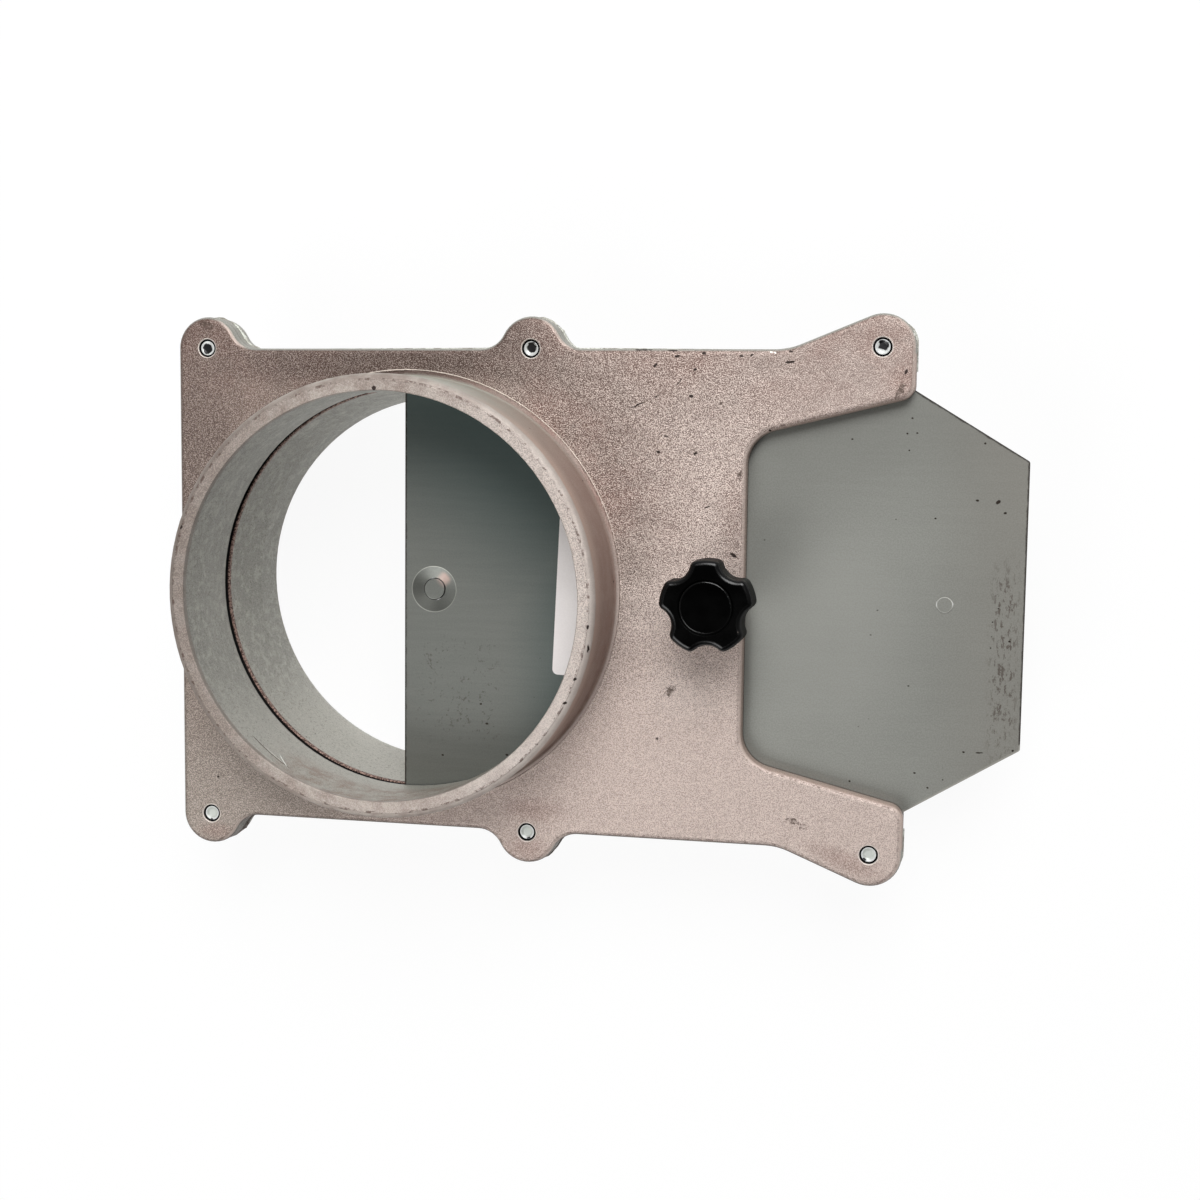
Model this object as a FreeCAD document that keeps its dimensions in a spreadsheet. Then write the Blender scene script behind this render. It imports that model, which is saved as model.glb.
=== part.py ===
import FreeCAD, Part
import math
import os

import Sketcher

# Blast gate: two cast halves bolted face to face round a sliding blade, with a locking knob.
# Millimetres. Z runs along the duct, from the rear collar's rim at z = 0 to the front collar's rim.
# X is the way the blade pulls out. The origin is the centre of the rear collar's rim.

# Driving dimensions. Each is one cell of the sheet, and every sketch and feature reads it there.
DIMENSIONS = [
    ("bore_radius", 46.1, "duct bore through both castings"),
    ("collar_wall", 3.9, "wall of both collars, 100 mm outside for hose or pipe"),
    ("collar_height", 22.5, "from a plate's outer face to its collar's rim"),
    ("collar_root_radius", 1.5, "fillet between collar and plate"),
    ("front_rim_round", 1.5, "rounding outside the front collar's rim"),
    ("rear_rim_round", 0.5, "rounding outside the rear collar's rim, which the gate rests on"),
    ("rim_inner_round", 0.3, "rounding inside the collar rims"),
    ("bore_land", 10.0, "straight part of each bore, from its rim"),
    ("bore_draft", 1.5, "how much wider each bore grows from there to the blade, radially"),
    ("slot_edge_chamfer", 0.2, "break of the bore's edge where the blade crosses it"),
    ("plate_thickness", 4.0, "wall of both flat plates"),
    ("side_wall", 4.7, "solid wall beside the blade's slot"),
    ("end_wall", 4.6, "solid wall past the shut blade's end"),
    ("cast_round", 1.3, "rounding round the outer face of both plates"),
    ("notch_from_collar", 29.9, "collar to the bottom of the finger notch"),
    ("notch_lip", 14.9, "how far the plate covers the blade's edge at the notch's bottom"),
    ("mouth_lip", 5.8, "how far a wing covers the blade's edge at the notch's mouth"),
    ("notch_round", 8.0, "corner radius at the bottom of the notch"),
    ("wing_inner_round", 3.5, "corner radius at the inner end of each wing"),
    ("wing_reach", 29.5, "notch's bottom to the screws at the wing tips"),
    ("flare_start", 8.7, "notch's bottom to where each wing leaves the straight edge"),
    ("flare_round", 14.0, "blend where each wing leaves the straight edge"),
    ("wing_screw_out", 0.5, "screws at the wing tips, outside the plate's straight edge"),
    ("lug_radius", 7.4, "rounded lug about each screw"),
    ("lug_blend", 6.0, "concave blend at the root of each lug"),
    ("lug_root", 6.0, "how far a lug's straight sides run into the plate"),
    ("lug_middle_x", 29.65, "screws beside the collar"),
    ("blade_thickness", 1.6, "sheet of the blade"),
    ("blade_face_clearance", 0.2, "gap over and under the blade"),
    ("blade_edge_clearance", 0.3, "gap beside the blade"),
    ("blade_end_clearance", 0.4, "gap past the blade's end when it is shut"),
    ("blade_side_lap", 5.4, "how far the blade reaches past the bore on each side"),
    ("blade_end_lap", 6.3, "how far the shut blade reaches past the bore"),
    ("blade_stroke", 119.1, "travel from shut to open"),
    ("blade_stands_out", 50.6, "how far from shut the blade stands"),
    ("blade_length", 143.8, "straight inner end to the pull end"),
    ("blade_nose_length", 31.6, "narrowing part of the pull end"),
    ("blade_nose_half_width", 32.2, "half width of the pull end"),
    ("blade_corner_round", 2.0, "corner radius of the blade's inner end"),
    ("blade_nose_round", 0.8, "corner radius of the blade's pull end"),
    ("stop_rivet_radius", 2.6, "body of the open stop rivet"),
    ("stop_rivet_dome", 0.35, "height of the rivet's formed end over the dish"),
    ("stop_rivet_round", 0.3, "rounding of the rivet's formed end"),
    ("stop_dish_width", 2.9, "shallow dish round the open stop rivet, rivet to rim"),
    ("stop_dish_depth", 0.6, "depth of that dish at the rivet"),
    ("index_pin_radius", 1.8, "flush pin near the pull end"),
    ("pin_fit", 0.08, "gap round the rivet and the pin, radially"),
    ("screw_radius", 2.0, "thread outside of the body screws"),
    ("screw_tap_fit", 0.1, "gap round a screw in the front casting's tapped hole, radially"),
    ("screw_pass_fit", 0.3, "gap round a screw in the rear casting's plain hole, radially"),
    ("screw_hole_break", 0.2, "chamfer of a tapped hole's edge at the front face"),
    ("screw_tip_recess", 0.4, "how far a screw's tip stops short of the front face"),
    ("screw_tip_chamfer", 0.3, "chamfer of a screw's tip"),
    ("screw_cup_floor", 0.9, "flat floor of the cup in a screw's tip"),
    ("screw_cup_slope", 0.6, "sloping side of that cup, in plan"),
    ("screw_cup_depth", 0.3, "depth of that cup"),
    ("screw_head_radius", 4.0, "pan head"),
    ("screw_head_height", 2.6, "pan head"),
    ("screw_head_dome", 1.2, "rounding of the pan head"),
    ("drive_arms", 4, "arms of the cross recess"),
    ("drive_arm", 2.1, "cross recess, centre to the end of an arm"),
    ("drive_half_width", 0.45, "cross recess, half width of an arm"),
    ("drive_depth", 1.5, "cross recess depth"),
    ("washer_width", 1.45, "split lock washers, inner to outer edge"),
    ("washer_thickness", 0.9, "split lock washers"),
    ("washer_split", 0.7, "gap in the split lock washers"),
    ("washer_fit", 0.15, "gap between washer and screw, radially"),
    ("knob_from_notch", 6.0, "locking stud's axis to the bottom of the finger notch"),
    ("stud_radius", 3.0, "locking stud"),
    ("stud_fit", 0.05, "running gap round the stud, radially"),
    ("stud_blade_gap", 0.05, "stud tip over the blade where it stands"),
    ("stud_tip_chamfer", 0.6, "chamfer of the stud's tip"),
    ("stud_grip", 15.0, "length of stud inside the knob"),
    ("stud_end_gap", 0.3, "stud's blind end to the knob's bore end"),
    ("knob_gap", 1.5, "front plate to the knob's hub"),
    ("knob_hub_wall", 2.15, "hub under the knob's head, outside the stud's bore"),
    ("knob_hub_height", 11.0, "hub under the knob's head"),
    ("knob_radius", 10.4, "lobe tips of the knob"),
    ("knob_height", 7.5, "head of the knob"),
    ("knob_lobes", 5, "finger lobes"),
    ("scallop_radius", 4.1, "finger scallops between the lobes"),
    ("scallop_out", 2.0, "a scallop's centre, outside the lobe tips' circle"),
    ("lobe_round", 1.6, "corner radius down each lobe"),
    ("knob_top_round", 1.3, "rounding of the knob's upper edge"),
    ("knob_under_round", 0.4, "rounding of the knob's lower edge"),
    ("cap_radius", 5.8, "round cap in the knob's top"),
    ("cap_fit", 0.08, "gap round the cap, radially"),
    ("cap_seat_depth", 1.2, "recess that holds the cap"),
    ("cap_seat_chamfer", 0.35, "chamfer of that recess's edge"),
    ("cap_thickness", 1.4, "cap"),
    ("cap_round", 0.4, "rounding of the cap's rim"),
]

# Widths and places in plan that follow from the dimensions.
COLLAR_OUTER = "(dims.bore_radius + dims.collar_wall)"
BORE_AT_BLADE = "(dims.bore_radius + dims.bore_draft)"
BLADE_HALF_WIDTH = "(dims.bore_radius + dims.blade_side_lap)"
SLOT_HALF_WIDTH = f"({BLADE_HALF_WIDTH} + dims.blade_edge_clearance)"
PLATE_HALF_WIDTH = f"({SLOT_HALF_WIDTH} + dims.side_wall)"
SLOT_REACH = "(dims.bore_radius + dims.blade_end_lap + dims.blade_end_clearance)"
PLATE_REACH = f"({SLOT_REACH} + dims.end_wall)"
LUG_END_X = f"(dims.lug_radius - {PLATE_REACH})"
NOTCH_X = f"({COLLAR_OUTER} + dims.notch_from_collar)"
NOTCH_HALF_WIDTH = f"({SLOT_HALF_WIDTH} - dims.notch_lip)"
MOUTH_HALF_WIDTH = f"({SLOT_HALF_WIDTH} - dims.mouth_lip)"
FLARE_X = f"({NOTCH_X} + dims.flare_start)"
WING_SCREW_X = f"({NOTCH_X} + dims.wing_reach)"
WING_SCREW_Y = f"({PLATE_HALF_WIDTH} + dims.wing_screw_out)"
WING_END = f"({WING_SCREW_X} + dims.lug_radius)"
KNOB_X = f"({NOTCH_X} - dims.knob_from_notch)"
BLADE_INNER_X = "(dims.blade_stands_out - dims.bore_radius - dims.blade_end_lap)"
BLADE_OUTER_X = f"({BLADE_INNER_X} + dims.blade_length)"
BLADE_SHOULDER_X = f"({BLADE_OUTER_X} - dims.blade_nose_length)"
# The pin lies under the stud when the blade is shut, and the rivet when it is open.
INDEX_PIN_X = f"({KNOB_X} + dims.blade_stands_out)"
STOP_RIVET_X = f"({INDEX_PIN_X} - dims.blade_stroke)"

# Heights that follow from the dimensions.
SLOT_HEIGHT = "(dims.blade_thickness + 2 * dims.blade_face_clearance)"
REAR_FACE = "dims.collar_height"
PARTING = f"({REAR_FACE} + dims.plate_thickness)"
FRONT_DEPTH = f"({SLOT_HEIGHT} + dims.plate_thickness)"
FRONT_FACE = f"({PARTING} + {FRONT_DEPTH})"
FRONT_RIM = f"({FRONT_FACE} + dims.collar_height)"
BLADE_UNDER = f"({PARTING} + dims.blade_face_clearance)"
BLADE_TOP = f"({BLADE_UNDER} + dims.blade_thickness)"
KNOB_SEAT = f"({FRONT_FACE} + dims.knob_gap)"
STUD_TIP = f"({BLADE_TOP} + dims.stud_blade_gap)"
STUD_REACH = f"({KNOB_SEAT} - {STUD_TIP})"
SCREW_HEAD_SEAT = f"({REAR_FACE} - dims.washer_thickness)"
SCREW_LENGTH = f"({FRONT_FACE} - dims.screw_tip_recess - {SCREW_HEAD_SEAT})"

SCREW_PLACES = [
    (LUG_END_X, PLATE_HALF_WIDTH),
    ("dims.lug_middle_x", PLATE_HALF_WIDTH),
    (WING_SCREW_X, WING_SCREW_Y),
    (LUG_END_X, f"-{PLATE_HALF_WIDTH}"),
    ("dims.lug_middle_x", f"-{PLATE_HALF_WIDTH}"),
    (WING_SCREW_X, f"-{WING_SCREW_Y}"),
]
WASHER_TURN_DEGREES = 67.0
KNOB_TURN_DEGREES = 2.0
NEAR = 0.01
# How a sketch counts the points of an edge, and its own origin and axes.
START_INDEX, END_INDEX, CENTRE_INDEX = 1, 2, 3
ORIGIN_INDEX, H_AXIS_INDEX, V_AXIS_INDEX = -1, -1, -2
UP = FreeCAD.Vector(0, 0, 1)

doc = FreeCAD.newDocument("blast_gate")
sheet = doc.addObject("Spreadsheet::Sheet", "dims")
for row, (alias, number, meaning) in enumerate(DIMENSIONS, start=1):
    sheet.set(f"A{row}", alias)
    sheet.set(f"B{row}", str(number))
    sheet.set(f"C{row}", meaning)
    sheet.setAlias(f"B{row}", alias)
doc.recompute()


def value(expression):
    """The number that an expression over the sheet gives."""
    return float(sheet.evalExpression(expression))


# Sketch helpers: every point and radius they add is bound to an expression.
def new_body(label):
    body = doc.addObject("PartDesign::Body", label)
    body.Label = label
    return body


def origin_feature(body, role):
    return next(f for f in body.Origin.OriginFeatures if f.Role == role)


def new_sketch(body, name, level="0", plane="XY_Plane", shift="0"):
    """A sketch on one of the body's own planes, raised to level and moved sideways by shift."""
    sketch = body.newObject("Sketcher::SketchObject", name)
    sketch.AttachmentSupport = (origin_feature(body, plane), "")
    sketch.MapMode = "FlatFace"
    sketch.setExpression("AttachmentOffset.Base.z", level)
    sketch.setExpression("AttachmentOffset.Base.x", shift)
    return sketch


def bind(sketch, constraint, expression):
    index = sketch.addConstraint(constraint)
    sketch.setExpression(f"Constraints[{index}]", expression)


def pin_x(sketch, geometry, point, x):
    if x == "0":
        sketch.addConstraint(Sketcher.Constraint("PointOnObject", geometry, point, V_AXIS_INDEX))
        return
    bind(sketch, Sketcher.Constraint("DistanceX", ORIGIN_INDEX, START_INDEX, geometry, point, value(x)), x)


def pin_y(sketch, geometry, point, y):
    if y == "0":
        sketch.addConstraint(Sketcher.Constraint("PointOnObject", geometry, point, H_AXIS_INDEX))
        return
    bind(sketch, Sketcher.Constraint("DistanceY", ORIGIN_INDEX, START_INDEX, geometry, point, value(y)), y)


def pin_point(sketch, geometry, point, x, y):
    pin_x(sketch, geometry, point, x)
    pin_y(sketch, geometry, point, y)


def add_circle(sketch, x, y, radius):
    centre = FreeCAD.Vector(value(x), value(y), 0)
    index = sketch.addGeometry(Part.Circle(centre, UP, value(radius)))
    bind(sketch, Sketcher.Constraint("Radius", index, value(radius)), radius)
    pin_point(sketch, index, CENTRE_INDEX, x, y)


def add_line(sketch, start, end):
    return sketch.addGeometry(Part.LineSegment(FreeCAD.Vector(*start, 0), FreeCAD.Vector(*end, 0)))


def add_arc(sketch, x, y, radius, start_angle, end_angle):
    """An arc run anticlockwise about a bound centre with a bound radius."""
    circle = Part.Circle(FreeCAD.Vector(value(x), value(y), 0), UP, value(radius))
    index = sketch.addGeometry(Part.ArcOfCircle(circle, start_angle, end_angle))
    bind(sketch, Sketcher.Constraint("Radius", index, value(radius)), radius)
    pin_point(sketch, index, CENTRE_INDEX, x, y)
    return index


def join(sketch, first, first_point, second, second_point):
    sketch.addConstraint(Sketcher.Constraint("Coincident", first, first_point, second, second_point))


def blend_into(sketch, first, first_point, second, second_point):
    sketch.addConstraint(Sketcher.Constraint("Tangent", first, first_point, second, second_point))


def add_polygon(sketch, corners):
    """A closed run of straight lines through corners, each a pair of expressions."""
    places = [(value(x), value(y)) for x, y in corners]
    lines = []
    for start, end in zip(places, places[1:] + places[:1]):
        lines.append(add_line(sketch, start, end))
    for index, line in enumerate(lines):
        join(sketch, line, END_INDEX, lines[(index + 1) % len(lines)], START_INDEX)
        pin_point(sketch, line, START_INDEX, *corners[index])


def add_rectangle(sketch, left, right, low, high):
    add_polygon(sketch, [(left, low), (right, low), (right, high), (left, high)])


# Feature helpers.
def extrude(body, name, sketch, length, cut=False, reverse=False):
    """Pad or pocket a sketch. Unreversed, a pad goes along +Z and a pocket along -Z."""
    feature = body.newObject("PartDesign::Pocket" if cut else "PartDesign::Pad", name)
    feature.Profile = sketch
    feature.Reversed = reverse
    feature.setExpression("Length", length)
    doc.recompute()
    return feature


def turn_out(body, name, sketch):
    """Cut away what a sketch on the XZ plane sweeps about its own vertical axis."""
    feature = body.newObject("PartDesign::Groove", name)
    feature.Profile = sketch
    feature.ReferenceAxis = (sketch, ["V_Axis"])
    feature.Angle = 360
    doc.recompute()
    return feature


def sink(body, name, x, top, floor_radius, slope, depth):
    """A round dish with a flat floor and a sloping side, sunk into a face at height top."""
    sketch = new_sketch(body, f"{name}_profile", plane="XZ_Plane", shift=x)
    floor, above = f"({top} - {depth})", f"({top} + {depth})"
    rim = f"({floor_radius} + {slope})"
    add_polygon(sketch, [("0", floor), (floor_radius, floor), (rim, top), (rim, above), ("0", above)])
    turn_out(body, name, sketch)


def repeat_round(body, name, feature, occurrences):
    """Repeat a feature all the way round the body's Z axis."""
    pattern = body.newObject("PartDesign::PolarPattern", name)
    pattern.Originals = [feature]
    pattern.Axis = (origin_feature(body, "Z_Axis"), [""])
    pattern.Angle = 360
    pattern.setExpression("Occurrences", occurrences)
    body.Tip = pattern
    doc.recompute()
    return pattern


def dress(body, name, edges, size_expression, chamfer=False):
    """Round or chamfer the named edges of the body's last feature."""
    base = body.Tip
    feature = body.newObject("PartDesign::Chamfer" if chamfer else "PartDesign::Fillet", name)
    feature.Base = (base, edges)
    feature.setExpression("Size" if chamfer else "Radius", size_expression)
    doc.recompute()
    return feature


def edges_where(body, test):
    """Names of the edges of the body's last feature that pass a test."""
    return [f"Edge{n}" for n, edge in enumerate(body.Tip.Shape.Edges, start=1) if test(edge)]


def upright_edges(body, places):
    """Upright straight edges that stand at the given places in plan."""
    spots = [(value(x), value(y)) for x, y in places]

    def stands_there(edge):
        box = edge.BoundBox
        slim = box.XLength < NEAR and box.YLength < NEAR
        return slim and any(math.hypot(box.XMin - x, box.YMin - y) < NEAR for x, y in spots)

    return edges_where(body, stands_there)


def level_edges(body, level):
    """Every edge that lies in the plane at one height."""
    height = value(level)
    return edges_where(
        body, lambda e: abs(e.BoundBox.ZMin - height) < NEAR and abs(e.BoundBox.ZMax - height) < NEAR
    )


def ring_edges(body, level, radius):
    """Circles of one radius at one height."""
    height, wanted = value(level), value(radius)

    def is_ring(edge):
        if not isinstance(edge.Curve, Part.Circle):
            return False
        return abs(edge.Curve.Center.z - height) < NEAR and abs(edge.Curve.Radius - wanted) < NEAR

    return edges_where(body, is_ring)


# Castings.
def tangent_angle():
    """Direction in plan of a wing's outer edge, from the straight edge up to the tip's arc."""
    along = value(f"{WING_SCREW_X} - {FLARE_X}")
    across = value("dims.wing_screw_out")
    reach = math.hypot(along, across)
    return math.atan2(across, along) + math.asin(value("dims.lug_radius") / reach)


def add_plate_outline(sketch):
    """The plate in plan: a rectangle with a finger notch between two flared wings."""
    flare = tangent_angle()
    radius, tip_x = value("dims.lug_radius"), value(WING_SCREW_X)
    left, flare_x, notch_x = value(f"-{PLATE_REACH}"), value(FLARE_X), value(NOTCH_X)
    end_x = value(WING_END)
    uppers, lowers = [], []
    for side, sign in ((1, ""), (-1, "-")):
        edge_y = side * value(PLATE_HALF_WIDTH)
        tip_y = side * value(WING_SCREW_Y)
        touch = (tip_x - radius * math.sin(flare), tip_y + side * radius * math.cos(flare))
        mouth = (end_x, side * value(MOUTH_HALF_WIDTH))
        notch = (notch_x, side * value(NOTCH_HALF_WIDTH))
        straight = add_line(sketch, (left, edge_y), (flare_x, edge_y))
        slope = add_line(sketch, (flare_x, edge_y), touch)
        end = add_line(sketch, (end_x, tip_y), mouth)
        inner = add_line(sketch, mouth, notch)
        touch_angle = side * (flare + math.pi / 2)
        angles = (0, touch_angle) if side > 0 else (touch_angle, 0)
        tip = add_arc(sketch, WING_SCREW_X, f"{sign}{WING_SCREW_Y}", "dims.lug_radius", *angles)
        slope_point, end_point = (END_INDEX, START_INDEX) if side > 0 else (START_INDEX, END_INDEX)
        join(sketch, straight, END_INDEX, slope, START_INDEX)
        blend_into(sketch, slope, END_INDEX, tip, slope_point)
        blend_into(sketch, end, START_INDEX, tip, end_point)
        join(sketch, end, END_INDEX, inner, START_INDEX)
        sketch.addConstraint(Sketcher.Constraint("Vertical", end))
        pin_point(sketch, straight, START_INDEX, f"-{PLATE_REACH}", f"{sign}{PLATE_HALF_WIDTH}")
        pin_point(sketch, slope, START_INDEX, FLARE_X, f"{sign}{PLATE_HALF_WIDTH}")
        pin_y(sketch, inner, START_INDEX, f"{sign}{MOUTH_HALF_WIDTH}")
        pin_point(sketch, inner, END_INDEX, NOTCH_X, f"{sign}{NOTCH_HALF_WIDTH}")
        (uppers if side > 0 else lowers).extend([straight, inner])
    height, notch_y = value(PLATE_HALF_WIDTH), value(NOTCH_HALF_WIDTH)
    closed_end = add_line(sketch, (left, -height), (left, height))
    notch_floor = add_line(sketch, (notch_x, notch_y), (notch_x, -notch_y))
    join(sketch, closed_end, START_INDEX, lowers[0], START_INDEX)
    join(sketch, closed_end, END_INDEX, uppers[0], START_INDEX)
    join(sketch, notch_floor, START_INDEX, uppers[1], END_INDEX)
    join(sketch, notch_floor, END_INDEX, lowers[1], END_INDEX)


def add_lug(sketch, x, side):
    """A tab with a half-round end about a screw on the plate's straight edge."""
    sign = "" if side > 0 else "-"
    centre_y, root_y = f"{sign}{PLATE_HALF_WIDTH}", f"{sign}({PLATE_HALF_WIDTH} - dims.lug_root)"
    angles = (0, math.pi) if side > 0 else (math.pi, 2 * math.pi)
    arc = add_arc(sketch, x, centre_y, "dims.lug_radius", *angles)
    left, right = value(f"{x} - dims.lug_radius"), value(f"{x} + dims.lug_radius")
    first, last = (right, left) if side > 0 else (left, right)
    inward = add_line(sketch, (last, value(centre_y)), (last, value(root_y)))
    across = add_line(sketch, (last, value(root_y)), (first, value(root_y)))
    outward = add_line(sketch, (first, value(root_y)), (first, value(centre_y)))
    blend_into(sketch, arc, END_INDEX, inward, START_INDEX)
    join(sketch, inward, END_INDEX, across, START_INDEX)
    join(sketch, across, END_INDEX, outward, START_INDEX)
    blend_into(sketch, outward, END_INDEX, arc, START_INDEX)
    sketch.addConstraint(Sketcher.Constraint("Vertical", inward))
    sketch.addConstraint(Sketcher.Constraint("Vertical", outward))
    sketch.addConstraint(Sketcher.Constraint("Horizontal", across))
    pin_y(sketch, across, START_INDEX, root_y)


def make_casting(label, front):
    """One cast half: plate with lugs and wings, and a round collar with the duct bore."""
    if front:
        face, rim, depth = FRONT_FACE, FRONT_RIM, FRONT_DEPTH
        land_end, blade_side = f"({FRONT_RIM} - dims.bore_land)", f"({PARTING} + {SLOT_HEIGHT})"
        outer_round = "dims.front_rim_round"
    else:
        face, rim, depth = REAR_FACE, "0", "dims.plate_thickness"
        land_end, blade_side = "dims.bore_land", PARTING
        outer_round = "dims.rear_rim_round"
    away, towards = not front, front
    body = new_body(label)
    outline = new_sketch(body, f"{label}_outline", PARTING)
    add_plate_outline(outline)
    extrude(body, f"{label}_plate", outline, depth, reverse=away)
    lugs = new_sketch(body, f"{label}_lugs", PARTING)
    for x in (LUG_END_X, "dims.lug_middle_x"):
        for side in (1, -1):
            add_lug(lugs, x, side)
    extrude(body, f"{label}_lug_pads", lugs, depth, reverse=away)
    round_casting_corners(body, label)
    dress(body, f"{label}_cast_round", level_edges(body, face), "dims.cast_round")

    collar = new_sketch(body, f"{label}_collar_circle", face)
    add_circle(collar, "0", "0", COLLAR_OUTER)
    extrude(body, f"{label}_collar", collar, "dims.collar_height", reverse=away)
    if front:
        add_blade_slot(body, label)
    bore = new_sketch(body, f"{label}_bore_profile", plane="XZ_Plane")
    straight = [("0", rim), ("dims.bore_radius", rim), ("dims.bore_radius", land_end)]
    add_polygon(bore, straight + [(BORE_AT_BLADE, blade_side), ("0", blade_side)])
    turn_out(body, f"{label}_bore", bore)
    root = ring_edges(body, face, COLLAR_OUTER)
    dress(body, f"{label}_collar_root", root, "dims.collar_root_radius")
    dress(body, f"{label}_outer_rim", ring_edges(body, rim, COLLAR_OUTER), outer_round)
    dress(body, f"{label}_inner_rim", ring_edges(body, rim, "dims.bore_radius"), "dims.rim_inner_round")
    crossing = ring_edges(body, blade_side, BORE_AT_BLADE)
    dress(body, f"{label}_slot_edge", crossing, "dims.slot_edge_chamfer", chamfer=True)

    holes = new_sketch(body, f"{label}_screw_circles", PARTING)
    fit = "dims.screw_tap_fit" if front else "dims.screw_pass_fit"
    for x, y in SCREW_PLACES:
        add_circle(holes, x, y, f"(dims.screw_radius + {fit})")
    extrude(body, f"{label}_screw_holes", holes, depth, cut=True, reverse=towards)
    if front:
        hole_rims = ring_edges(body, face, f"(dims.screw_radius + {fit})")
        dress(body, f"{label}_screw_hole_rims", hole_rims, "dims.screw_hole_break", chamfer=True)
        stud_hole = new_sketch(body, f"{label}_stud_circle", PARTING)
        add_circle(stud_hole, KNOB_X, "0", "(dims.stud_radius + dims.stud_fit)")
        extrude(body, f"{label}_stud_hole", stud_hole, depth, cut=True, reverse=towards)
    return body


def round_casting_corners(body, label):
    """Blends in plan: lug roots, wing roots, and the inner and outer corners of the notch."""
    lug_roots, flares, notch_corners, mouth_corners = [], [], [], []
    for sign in ("", "-"):
        edge_y = f"{sign}{PLATE_HALF_WIDTH}"
        lug_roots.append((f"{LUG_END_X} + dims.lug_radius", edge_y))
        lug_roots.append(("dims.lug_middle_x - dims.lug_radius", edge_y))
        lug_roots.append(("dims.lug_middle_x + dims.lug_radius", edge_y))
        flares.append((FLARE_X, edge_y))
        notch_corners.append((NOTCH_X, f"{sign}{NOTCH_HALF_WIDTH}"))
        mouth_corners.append((WING_END, f"{sign}{MOUTH_HALF_WIDTH}"))
    dress(body, f"{label}_lug_blend", upright_edges(body, lug_roots), "dims.lug_blend")
    dress(body, f"{label}_flare_blend", upright_edges(body, flares), "dims.flare_round")
    dress(body, f"{label}_notch_round", upright_edges(body, notch_corners), "dims.notch_round")
    dress(body, f"{label}_wing_round", upright_edges(body, mouth_corners), "dims.wing_inner_round")


def add_blade_slot(body, label):
    """The slot that the blade slides in, closed at one end and open at the notch and wing tips."""
    slot = new_sketch(body, f"{label}_slot_outline", PARTING)
    low, high, closed_end = f"-{SLOT_HALF_WIDTH}", SLOT_HALF_WIDTH, f"-{SLOT_REACH}"
    past_wings = f"({WING_END} + dims.lug_radius)"
    add_rectangle(slot, closed_end, past_wings, low, high)
    extrude(body, f"{label}_slot", slot, SLOT_HEIGHT, cut=True, reverse=True)
    corners = upright_edges(body, [(closed_end, low), (closed_end, high)])
    dress(body, f"{label}_slot_round", corners, "dims.blade_corner_round")


# Blade and what is set in it.
def make_blade():
    """Flat sheet with a straight inner end and a narrowed pull end."""
    body = new_body("gate_blade")
    outline = new_sketch(body, "blade_outline", BLADE_UNDER)
    upper = [
        (BLADE_OUTER_X, "dims.blade_nose_half_width"),
        (BLADE_SHOULDER_X, BLADE_HALF_WIDTH),
        (BLADE_INNER_X, BLADE_HALF_WIDTH),
    ]
    lower = [(x, f"-{y}") for x, y in reversed(upper)]
    add_polygon(outline, upper + lower)
    extrude(body, "blade_sheet", outline, "dims.blade_thickness")
    inner_corners = upright_edges(body, [upper[1], upper[2], lower[0], lower[1]])
    dress(body, "blade_corner_round", inner_corners, "dims.blade_corner_round")
    dress(body, "blade_nose_round", upright_edges(body, [upper[0], lower[2]]), "dims.blade_nose_round")
    holes = new_sketch(body, "blade_hole_circles", BLADE_TOP)
    add_circle(holes, STOP_RIVET_X, "0", "(dims.stop_rivet_radius + dims.pin_fit)")
    add_circle(holes, INDEX_PIN_X, "0", "(dims.index_pin_radius + dims.pin_fit)")
    extrude(body, "blade_holes", holes, "dims.blade_thickness", cut=True)
    flat, slope, depth = "dims.stop_rivet_radius", "dims.stop_dish_width", "dims.stop_dish_depth"
    sink(body, "stop_dish", STOP_RIVET_X, BLADE_TOP, flat, slope, depth)


def place(body, x, y="0", level="0"):
    for axis, expression in (("x", x), ("y", y), ("z", level)):
        body.setExpression(f"Placement.Base.{axis}", expression)


def make_stop_rivet():
    """Flush rivet whose formed end stands as a low dome in the dish."""
    body = new_body("open_stop_rivet")
    circle = new_sketch(body, "rivet_circle")
    add_circle(circle, "0", "0", "dims.stop_rivet_radius")
    length = "dims.blade_thickness - dims.stop_dish_depth + dims.stop_rivet_dome"
    extrude(body, "rivet_body", circle, length)
    dress(body, "rivet_dome", ring_edges(body, length, "dims.stop_rivet_radius"), "dims.stop_rivet_round")
    place(body, STOP_RIVET_X, level=BLADE_UNDER)


def make_index_pin():
    """Pin set flush in the blade near the pull end."""
    body = new_body("closed_index_pin")
    circle = new_sketch(body, "pin_circle")
    add_circle(circle, "0", "0", "dims.index_pin_radius")
    extrude(body, "pin_body", circle, "dims.blade_thickness")
    place(body, INDEX_PIN_X, level=BLADE_UNDER)


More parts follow.
